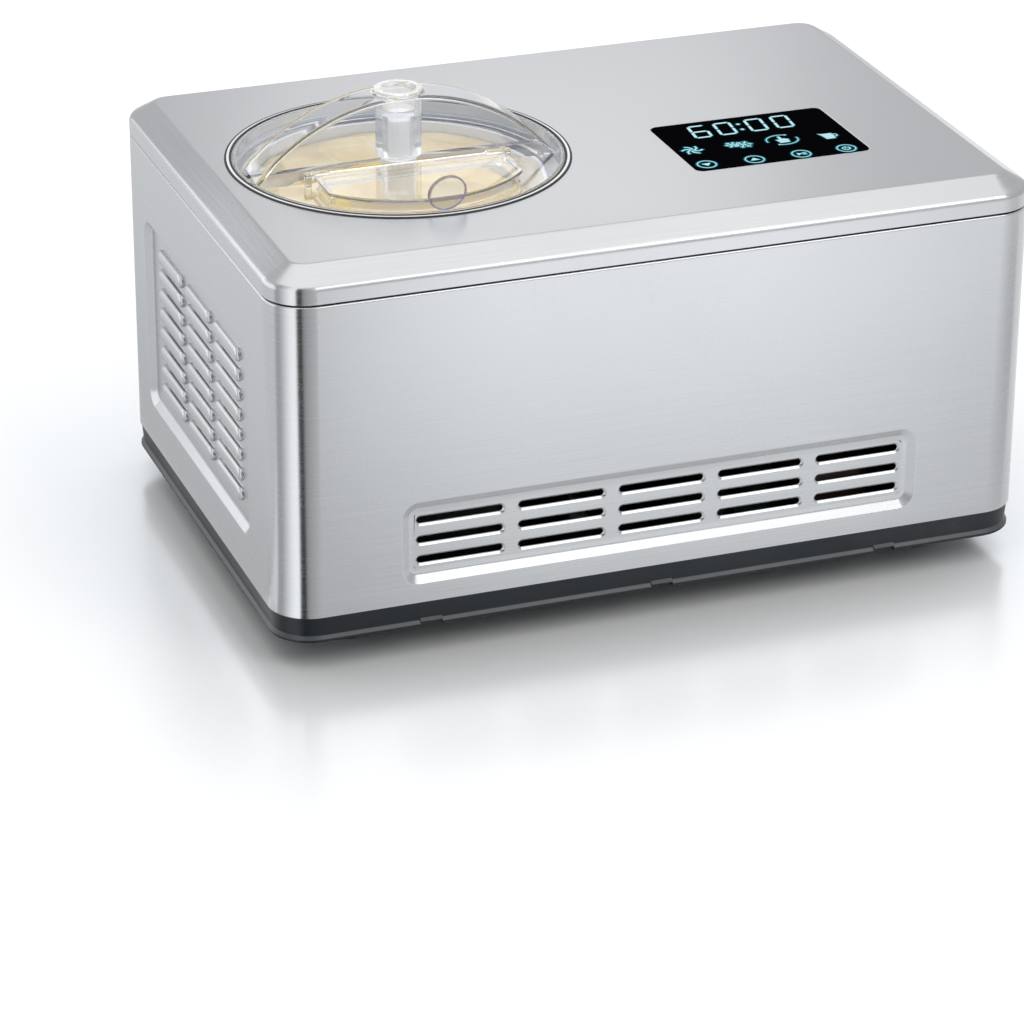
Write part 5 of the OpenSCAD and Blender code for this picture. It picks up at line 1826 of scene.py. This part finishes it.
@dataclass
class RefillFlap:
    """The clear refill flap: a plate, two hinge knuckles and a round finger tab.

    A knuckle is its radius, length and height; the tab is its radius, place along X, thickness
    and middle height; grip_bar is half length, half height, corner radius and middle of the bar.
    """

    levels: Levels
    half: float = 54.0
    radius: float = 71.5
    back: float = 16.2
    low: float = 222.3
    thickness: float = 2.0
    knuckle: Triple = (2.0, 10.0, 223.3)
    tab: Quad = (10.4, 1.0, 2.2, 228.2)
    lean: float = 0.28
    grip_bar: Quad = (9.2, 1.3, 1.2, -3.2)
    grip_depth: Pair = (-0.3, 0.45)
    bead: Pair = (0.1, 1.0)

    def outline(self, inset: float) -> np.ndarray:
        """The plate's outline drawn in."""
        return lid_window(self.half - inset, self.radius - inset, self.back + inset, self.levels.bowl_x)

    def build(self, palette: Palette) -> None:
        """Stacks the plate's outline, and turns the knuckles and the tab about their axes.

        Args:
            palette: the finishes.
        """
        plate, grip = Shell(), Shell()
        z0, z1 = self.low, self.low + self.thickness
        under = [(0.5, z0), (0.12, z0 + 0.15), (0.0, z0 + 0.5)]
        plate.stack(drawn(self.outline, [*under, (0.0, z1 - 0.6), (0.15, z1 - 0.15), (0.6, z1)]))
        r, length, z = self.knuckle
        rod = arc((-self.back, z), r, 0, 360, 20)[:-1]
        plate.pegs(rod, self.levels.bowl_x, self.half - length, self.half)
        self.add_tab(plate)
        fit = Fit("refill_flap_clear", "flap", "clear_plastic", ("refill_flap",))
        install(plate, fit, palette.of(CLEAR))
        self.add_grip(grip)
        install(grip, Fit("flap_grip", "flap", "clear_plastic"), palette.of(CLEAR_TINTED))

    def leaning(self, across: np.ndarray, rise: np.ndarray, out: np.ndarray) -> np.ndarray:
        """Points of the tab: it leans forwards, so y falls by lean times the height over its foot.

        Args:
            across: X from the tab's middle.
            rise: height over the tab's middle.
            out: distance in front of the tab.

        Returns:
            Rows of X, Y and Z.
        """
        r, dx, thick, z = self.tab
        y = -self.radius - thick - out - self.lean * (rise + r)
        return np.stack([self.levels.bowl_x + dx + across, y, z + rise], -1)

    def add_tab(self, shell: Shell) -> None:
        """A disc at the front with a rounded edge.

        Args:
            shell: the mesh that it goes into.
        """
        r, _, thick, _ = self.tab
        section = softened([(0.0, 0.0), (r, 0.0), (r, thick), (0.0, thick)], [0, 0.7, 0.7, 0], 4)
        a = np.linspace(0, 2 * math.pi, 48, endpoint=False)
        radius, depth = section[:, :1], section[:, 1:]
        shell.grid(self.leaning(radius * np.cos(a), radius * np.sin(a), -depth), ring=True)

    def add_grip(self, shell: Shell) -> None:
        """The tab's grip bar and edge bead, proud of its front and leaning with it.

        Args:
            shell: the mesh that it goes into.
        """
        r = self.tab[0]
        half_u, half_v, corner, middle = self.grip_bar
        bar = rounded_ring(half_u, half_v, corner, centre=(0.0, middle))
        outer, inner = (arc((0, 0), r - inset, 0, 360, 60)[:-1] for inset in self.bead)
        flat = Shell()
        flat.plate(bar, *self.grip_depth)
        flat.plate(outer, *self.grip_depth, inner)
        points = np.concatenate(flat.points)
        shell.add(self.leaning(points[:, 0], points[:, 1], points[:, 2]))
        shell.faces.extend(flat.faces)


# ---- Touch panel ----


@dataclass
class Ink:
    """Draws flat signs of one height, each grown outwards by the same amount."""

    shell: Shell
    low: float
    high: float
    grow: float
    stroke: float = 0.55

    def fill(self, ring: np.ndarray) -> None:
        """A plate on an outline."""
        self.shell.stack([lifted(ring, self.low), lifted(ring, self.high)])

    def ribbon(self, path: np.ndarray, width: float) -> None:
        """A stroke: the path moved half a width to each side of itself, and lengthened by grow.

        Args:
            path: rows of u and v.
            width: the stroke's width.
        """
        half = width / 2 + self.grow
        t = np.gradient(path, axis=0)
        t /= np.linalg.norm(t, axis=1, keepdims=True)
        n = np.stack([-t[:, 1], t[:, 0]], -1)
        path = path.copy()
        path[0] -= t[0] * self.grow
        path[-1] += t[-1] * self.grow
        self.fill(np.concatenate([path - n * half, (path + n * half)[::-1]]))

    def line(self, start: Sequence[float], end: Sequence[float], width: float) -> None:
        """A straight stroke."""
        self.ribbon(np.stack([start, end]), width)

    def loop(self, centre: Sequence[float], radius: float) -> None:
        """A circle's stroke.

        Args:
            centre: its middle.
            radius: its radius.
        """
        half = self.stroke / 2 + self.grow
        outer = arc(centre, radius + half, 0, 360, 40)[:-1]
        inner = arc(centre, radius - half, 0, 360, 40)[:-1]
        self.shell.plate(outer, self.low, self.high, inner)

    def blot(self, corners: np.ndarray) -> None:
        """A filled sign, each corner pushed away from its middle by grow."""
        away = corners - corners.mean(axis=0)
        self.fill(corners + away / np.linalg.norm(away, axis=1, keepdims=True) * self.grow)


@dataclass
class TouchPanel:
    """Black glass set flush in the cover, with lit digits and key signs on it."""

    levels: Levels
    middle: Pair = (94.0, -41.0)
    half: Pair = (50.0, 35.0)
    corner: float = 4.0
    low: float = 219.5
    top: float = 222.5
    sign_low: float = 222.51
    sign_high: float = 222.57
    halo_high: float = 222.53
    halo_grow: float = 0.75
    slant: float = 0.10
    digit_y: float = -29.6
    digit_size: Pair = (9.0, 17.2)
    segment: float = 1.6
    segment_gap: float = 0.35
    digits: tuple[tuple[float, str], ...] = (
        (62.1, "afgecd"),
        (77.0, "abcdef"),
        (95.3, "abcdef"),
        (110.6, "abcdef"),
    )
    colon: Pairs = ((91.6, -17.0), (90.8, -25.2))
    fan_at: Pair = (52.7, -46.1)
    flakes: tuple[Triple, ...] = ((76.0, -45.6, 4.0), (82.2, -47.2, 5.0))
    hand_at: Pair = (104.7, -47.3)
    jug_at: Pair = (130.7, -49.9)
    keys: Pairs = ((51.9, -68.4), (78.9, -69.9), (105.8, -70.4), (132.1, -70.6))
    key_r: float = 5.1

    def build(self, palette: Palette) -> None:
        """Makes the glass, the halo strokes and the bright strokes.

        Args:
            palette: the finishes.
        """
        w, d = self.half
        low, top = self.low, self.top
        rows = [(0.3, low), (0.0, low + 0.3), (0.0, top - 0.35), (0.12, top - 0.1), (0.4, top)]
        glass = Shell()
        glass.stack(
            [lifted(rounded_ring(w - g, d - g, self.corner - g, centre=self.middle), z) for g, z in rows]
        )
        fit = Fit("touch_glass", "housing", "display_glass", ("display_glass",))
        install(glass, fit, palette.of(GLASS))
        for name, finish, grow, high in (
            ("panel_glow", SIGN_HALO, self.halo_grow, self.halo_high),
            ("panel_signs", SIGN_LIGHT, 0.0, self.sign_high),
        ):
            ink = Ink(Shell(), self.sign_low, high, grow)
            self.add_digits(ink)
            self.add_fan(ink)
            for x, y, size in self.flakes:
                self.add_flake(ink, np.array((x, y)), size)
            self.add_hand(ink)
            self.add_jug(ink)
            self.add_keys(ink)
            install(ink.shell, Fit(name, "housing", "display_glass"), palette.of(finish), angle=60)

    def add_digits(self, ink: Ink) -> None:
        """Four seven-segment digits and a colon, leaning a little to the right.

        A segment joins two points of a grid one digit wide and two halves high.

        Args:
            ink: the ink that draws it.
        """
        segments = {
            "a": ((0, 2), (1, 2)),
            "b": ((1, 2), (1, 1)),
            "c": ((1, 1), (1, 0)),
            "d": ((1, 0), (0, 0)),
            "e": ((0, 0), (0, 1)),
            "f": ((0, 1), (0, 2)),
            "g": ((0, 1), (1, 1)),
        }
        wide, tall = self.digit_size
        half = self.segment / 2
        for left, lit in self.digits:
            for key in lit:
                start, end = (np.array([wide * i, tall / 2 * j]) for i, j in segments[key])
                along = (end - start) / np.linalg.norm(end - start)
                side = np.array([-along[1], along[0]])
                a, b = start + along * self.segment_gap, end - along * self.segment_gap
                lower = [a, a + (along - side) * half, b - (along + side) * half]
                upper = [b, b + (side - along) * half, a + (along + side) * half]
                ring = np.array(lower + upper)
                ring[:, 0] += left + self.slant * ring[:, 1]
                ring[:, 1] += self.digit_y
                ink.blot(ring)
        for point in self.colon:
            ink.blot(arc(point, 1.0, 0, 360, 16)[:-1])

    def add_keys(self, ink: Ink) -> None:
        """Four ringed keys: down, up, start and pause, and power.

        Args:
            ink: the ink that draws it.
        """
        for centre in self.keys:
            ink.loop(centre, self.key_r)
        first, second, start, power = (np.array(centre) for centre in self.keys)
        ink.blot(np.array([(-2.6, 1.3), (0.0, -2.2), (2.6, 1.3)]) + first)
        ink.blot(np.array([(2.6, -1.3), (0.0, 2.2), (-2.6, -1.3)]) + second)
        ink.blot(start + [(-2.2, -1.7), (0.5, 0.0), (-2.2, 1.7)])
        for dx in (1.2, 2.4):
            ink.line(start + (dx, -1.6), start + (dx, 1.6), 0.6)
        ink.ribbon(arc(power, 2.0, 130, 410, 20), 0.7)
        ink.line(power + (0.0, 0.2), power + (0.0, 2.6), 0.7)

    def add_fan(self, ink: Ink) -> None:
        """Six curved blades about a point.

        Args:
            ink: the ink that draws it.
        """
        t = np.linspace(0, 1, 8)
        r = 0.9 + 4.9 * t
        for start in range(0, 360, 60):
            a = np.radians(start + 55 * t)
            ink.ribbon(np.stack([self.fan_at[0] + r * np.cos(a), self.fan_at[1] + r * np.sin(a)], -1), 0.9)

    def add_flake(self, ink: Ink, middle: np.ndarray, size: float) -> None:
        """Six arms with small barbs.

        Args:
            ink: the ink that draws it.
            middle: its middle.
            size: an arm's length.
        """
        for a in np.radians(np.arange(0, 360, 60)):
            way = np.array([math.cos(a), math.sin(a)])
            ink.line(middle + way * 0.4, middle + way * size, 0.6)
            knee = middle + way * size * 0.55
            for turn in (-0.9, 0.9):
                barb = np.array([math.cos(a + turn), math.sin(a + turn)]) * size * 0.36
                ink.line(knee, knee + barb, 0.4)

    def add_hand(self, ink: Ink) -> None:
        """A pointing hand between two turning arrows.

        Args:
            ink: the ink that draws it.
        """
        palm = [(-2.0, -3.4), (2.3, -3.4), (2.9, 0.2), (1.2, 1.2), (0.4, 1.2)]
        palm += [(0.3, 4.0), (-0.9, 4.0), (-1.0, 0.2), (-2.8, 0.9)]
        ink.blot(np.array(palm) * 1.25 + self.hand_at)
        for start, end in ((190, 62), (10, -118)):
            path = arc((0, 0), 1.0, start, end, 24) * (8.9, 7.2) + self.hand_at
            ink.ribbon(path, 0.5)
            ink.blot(arc(path[-1], 1.0, 0, 360, 3)[:-1])

    def add_jug(self, ink: Ink) -> None:
        """A small jug with a handle.

        Args:
            ink: the ink that draws it.
        """
        body = [(-2.6, -4.3), (2.6, -4.3), (3.3, 0.5), (2.8, 3.4), (-2.8, 3.4), (-4.6, 4.6), (-3.3, 1.0)]
        ink.blot(np.array(body) + self.jug_at)
        ink.ribbon(arc((self.jug_at[0] + 3.2, self.jug_at[1] + 0.1), 1.9, -80, 80, 10), 0.6)


# ---- Carried-over nodes ----


@dataclass
class Dressing:
    """Gives every CAD node its finish and softens the edges of those that stay on show.

    hidden nodes have a piece of the scene in their place; sharp ones keep their cut edges.
    """

    bevel: float = 0.25
    bevel_over: float = 40.0
    weld: float = 0.01
    hidden: tuple[str, ...] = (
        "housing_wrap",
        "top_cover",
        "base_tray",
        "feet",
        "opening_ring",
        "bowl",
        "lid",
        "lid_tube",
        "refill_flap",
        "display_glass",
    )
    sharp: tuple[str, ...] = ("rear_panel",)

    def build(self, palette: Palette) -> None:
        """Walks the record's nodes.

        Args:
            palette: the finishes.
        """
        for part in frame["record"]["subparts"]:
            node = frame["nodes"][part["node"]]
            self.dress(node, palette.of(SLOT_FINISHES[part["material_slot"]]))
            if part["node"] not in self.hidden + self.sharp:
                self.soften(node)

    def dress(self, node: bpy.types.Object, material: bpy.types.Material) -> None:
        """Puts one material in all the node's slots.

        Args:
            node: the node's object.
            material: the material.
        """
        if not node.material_slots:
            node.data.materials.append(material)
        for place in node.material_slots:
            place.material = material

    def soften(self, node: bpy.types.Object) -> None:
        """Welds the loose triangles in the stack, bevels the sharp edges and evens the normals.

        Args:
            node: the node's object.
        """
        weld = node.modifiers.new("weld", "WELD")
        weld.merge_threshold = self.weld * MM
        edge = node.modifiers.new("edge", "BEVEL")
        edge.width = self.bevel * MM
        edge.segments = 2
        edge.limit_method = "ANGLE"
        edge.angle_limit = math.radians(self.bevel_over)
        edge.harden_normals = False
        even = node.modifiers.new("even", "WEIGHTED_NORMAL")
        even.keep_sharp = True


# ---- Studio ----


@dataclass(frozen=True)
class Lamp:
    """A soft rectangular lamp, in metres and watts."""

    name: str
    at: Triple
    aim_z: float
    size: Pair
    power: float

    def hang(self) -> None:
        """Hangs the lamp and turns it to a point on the Z axis."""
        data = bpy.data.lights.new(self.name, "AREA")
        data.energy = self.power
        data.shape = "RECTANGLE"
        data.size, data.size_y = self.size
        light = bpy.data.objects.new(self.name, data)
        place = Vector(self.at)
        aim = (Vector((0.0, 0.0, self.aim_z)) - place).to_track_quat("-Z", "Y")
        light.matrix_world = Matrix.Translation(place) @ aim.to_matrix().to_4x4()
        light.visible_camera = False
        bpy.context.scene.collection.objects.link(light)


LAMPS = (
    Lamp("overhead", (0.0, -0.2, 3.2), 0.0, (4.0, 4.0), 41.0),
    Lamp("back_softbox", (0.62, 1.75, 1.15), 0.2, (0.55, 0.6), 0.95),
    Lamp("front_softbox", (0.70, -1.50, 1.44), 0.1, (1.2, 0.7), 7.6),
    Lamp("side_softbox", (-1.09, 1.61, 0.79), 0.1, (0.5, 0.8), 1.6),
)


@dataclass
class Cards:
    """Light cards that lie before the case and stand behind them, seen only by its gloss.

    The corner card is a fan about the near corner's axis: rows run outwards over the floor and
    then up, columns are angles, and the glow follows the angle. The front card is a strip before
    the front wall: its glow is the product of one curve along X, which leans by skew, and one
    away from the wall. The side card lies beside the left wall and turns up at its far edge.
    """

    corner: Pair = (-189.7, -122.2)
    reach: Triple = (26.0, 1200.0, 1500.0)
    angles: Numbers = (-190, -175, -160, -145, -128.6, -127.6, -114.6, -112, -104, -90, -74)
    corner_glow: Numbers = (0.6, 0.66, 1.25, 1.8, 2.0, 0.01, 0.01, 0.48, 0.64, 0.78, 0.95)
    corner_columns: int = 117
    front_x: Numbers = (-190, -60, 120, 260, 700)
    glow_x: Numbers = (0.76, 1.0, 1.0, 0.82, 0.60)
    front_away: Numbers = (4, 120, 260, 420, 1100)
    glow_away: Numbers = (1.10, 1.20, 1.42, 2.0, 2.0)
    skew: float = 0.31
    side_away: Numbers = (4, 40, 130, 900, 901, 1300)
    side_rise: Numbers = (0, 0, 0, 0, 60, 900)
    side_glow: Numbers = (0.72, 0.74, 1.0, 1.1, 1.9, 1.9)
    side_y: Pair = (-60.0, 1900.0)
    steps: int = 40
    lift: float = 0.4
    wall: Pair = (-212.5, -145.0)
    tint: Colour = (0.96, 0.98, 1.0)

    def build(self) -> None:
        """Makes the three cards."""
        self.add_corner()
        self.add_front()
        self.add_side()

    def add_corner(self) -> None:
        """The fan about the near corner's axis."""
        near, far, high = self.reach
        a = np.linspace(self.angles[0], self.angles[-1], self.corner_columns)
        glow = np.interp(a, self.angles, self.corner_glow)
        line = np.stack([np.cos(np.radians(a)), np.sin(np.radians(a)), 0 * a], -1)
        middle = np.array([*self.corner, self.lift])
        rows = [middle + line * near, middle + line * far, middle + line * far + (0, 0, high)]
        self.card("corner_card", np.stack(rows), np.stack([glow] * 3))

    def add_front(self) -> None:
        """The strip before the front wall, from the fan's last angle to the right."""
        away = np.linspace(self.front_away[0], self.front_away[-1], self.steps)[:, None]
        t = np.linspace(0, 1, self.steps)[None, :]
        left = self.corner[0] + away / math.tan(math.radians(-self.angles[-1]))
        x = left + t * (self.front_x[-1] - left)
        y = self.wall[1] - away + 0 * t
        glow = np.interp(x - self.skew * away, self.front_x, self.glow_x)
        glow = glow * np.interp(away, self.front_away, self.glow_away)
        self.card("front_card", np.stack([x, y, self.lift + 0 * x], -1), glow)

    def add_side(self) -> None:
        """The strip beside the left wall."""
        t = np.linspace(0, 1, self.steps)[None, :]
        curves = (self.side_away, self.side_rise, self.side_glow)
        away, rise, glow = (np.array(curve)[:, None] + 0 * t for curve in curves)
        low, high = self.side_y
        y = low + t * (high - low) + 0 * away
        points = np.stack([self.wall[0] - away, y, self.lift + rise], -1)
        self.card("side_card", points[:, ::-1], glow)

    def card(self, name: str, points: np.ndarray, glow: np.ndarray) -> None:
        """One card: a grid whose glow is kept at its points and lit on its upper side only.

        Args:
            name: the card's name.
            points: rows by columns by 3.
            glow: the glow at each point.
        """
        shell = Shell()
        shell.grid(points[::-1])
        made = shell.mesh(name, False, 180)
        kept = made.data.attributes.new("glow", "FLOAT", "POINT")
        kept.data.foreach_set("value", glow[::-1].ravel().astype(np.float32))
        skin, nodes, output = new_material(name)
        strength = nodes.new("ShaderNodeAttribute", attribute_name="glow").outputs["Fac"]
        light = nodes.new("ShaderNodeEmission", {"Strength": strength, "Color": (*self.tint, 1.0)})
        under = nodes.new("ShaderNodeNewGeometry").outputs["Backfacing"]
        nothing = nodes.new("ShaderNodeBsdfTransparent").outputs[0]
        nodes.feed(output, {"Surface": nodes.mix(under, light.outputs[0], nothing)})
        made.data.materials.append(skin)
        made.visible_camera = False
        made.visible_diffuse = False
        made.visible_transmission = False
        made.visible_volume_scatter = False
        made.visible_shadow = False


@dataclass
class Studio:
    """Floor, light and camera."""

    camera_at: Triple = (-759.6, -1964.6, 997.6)
    yaw: float = 20.32
    pitch: float = 25.45
    roll: float = 0.32
    lens: float = 145.09
    sensor: float = 36.0
    view_end: float = 50.0
    room: float = 0.93
    footprint: Pair = (212.5, 145.0)
    floor_radius: float = 9000.0
    mirror: float = 0.46
    mirror_tint: Colour = (0.93, 0.97, 1.0)
    lamps: tuple[Lamp, ...] = LAMPS

    def build(self) -> None:
        """Sets up the stage."""
        self.add_floor()
        Cards().build()
        self.add_world()
        for lamp in self.lamps:
            lamp.hang()
        self.add_camera()
        bpy.context.scene.view_settings.view_transform = "Standard"

    def add_camera(self) -> None:
        """Camera axes from yaw, pitch and roll: right, up, and the opposite of its view."""
        yaw, pitch, roll = (math.radians(v) for v in (self.yaw, self.pitch, self.roll))
        view = Vector((math.sin(yaw) * math.cos(pitch), math.cos(yaw) * math.cos(pitch), -math.sin(pitch)))
        right = Vector((math.cos(yaw), -math.sin(yaw), 0.0))
        up = Vector((math.sin(yaw) * math.sin(pitch), math.cos(yaw) * math.sin(pitch), math.cos(pitch)))
        across = math.cos(roll) * right + math.sin(roll) * up
        high = math.cos(roll) * up - math.sin(roll) * right
        data = bpy.data.cameras.new("camera")
        data.lens = self.lens
        data.sensor_width = self.sensor
        data.clip_end = self.view_end
        camera = bpy.data.objects.new("camera", data)
        turned = Matrix((across, high, -view)).transposed().to_4x4()
        camera.matrix_world = Matrix.Translation(Vector(self.camera_at) * MM) @ turned
        bpy.context.scene.collection.objects.link(camera)
        bpy.context.scene.camera = camera

    def add_floor(self) -> None:
        """A pale floor that mirrors softly beside the case; the mirror fades with the distance."""
        shell = Shell()
        shell.face(lifted(arc((0, 0), self.floor_radius, 0, 360, 64)[:-1], 0.0))
        floor = shell.mesh("floor", False, 30)
        made, nodes, output = new_material("floor")
        place = nodes.new("ShaderNodeTexCoord").outputs["Object"]
        tone = nodes.blend(nodes.noise(place, 1.5, 2.0), (0.95, 0.95, 0.95), (0.97, 0.97, 0.97))
        matt = nodes.new("ShaderNodeBsdfPrincipled", {"Base Color": tone, "Roughness": 0.5})
        half = (self.footprint[0] * MM, self.footprint[1] * MM, 1.0)
        outside = nodes.vector("SUBTRACT", nodes.vector("ABSOLUTE", place).outputs[0], half).outputs[0]
        outside = nodes.vector("MAXIMUM", outside, (0.0, 0.0, 0.0)).outputs[0]
        away = nodes.vector("LENGTH", outside).outputs["Value"]
        blur = nodes.spread(away, 0.0, 0.30, 0.20, 0.36)
        gloss = nodes.new("ShaderNodeBsdfGlossy", {"Roughness": blur, "Color": (*self.mirror_tint, 1.0)})
        fade = nodes.math("POWER", nodes.spread(away, 0.0, 0.80, 1.0, 0.0), 3.0)
        mask = nodes.math("MULTIPLY", fade, self.mirror)
        nodes.feed(output, {"Surface": nodes.mix(mask, matt.outputs["BSDF"], gloss.outputs[0])})
        floor.data.materials.append(made)

    def add_world(self) -> None:
        """A white room that is a little darker low down."""
        world = bpy.data.worlds.new("room")
        bpy.context.scene.world = world
        world.use_nodes = True
        nodes = Nodes(world.node_tree)
        way = nodes.new("ShaderNodeTexCoord").outputs["Generated"]
        height = nodes.new("ShaderNodeSeparateXYZ", {0: way}).outputs["Z"]
        colour = nodes.blend(nodes.spread(height, 0.0, 0.8), (0.80, 0.83, 0.87), (1.0, 1.0, 1.0))
        back = next(node for node in world.node_tree.nodes if node.type == "BACKGROUND")
        nodes.feed(back, {"Color": colour, "Strength": self.room})


def main() -> None:
    """Builds the studio, the pieces and the finishes."""
    logging.basicConfig(level=logging.INFO, format="%(message)s")
    palette = Palette()
    levels = Levels.from_frame()
    Studio().build()
    makers = (
        HousingWrap(levels),
        TopCover(levels),
        BaseTray(levels),
        Feet(),
        OpeningRing(levels),
        Bowl(levels),
        IceCream(levels),
        Lid(levels),
        LidTube(levels),
        RefillFlap(levels),
        TouchPanel(levels),
        Dressing(),
    )
    for maker in makers:
        LOG.info("building %s", type(maker).__name__)
        maker.build(palette)


if __name__ == "__main__":
    main()
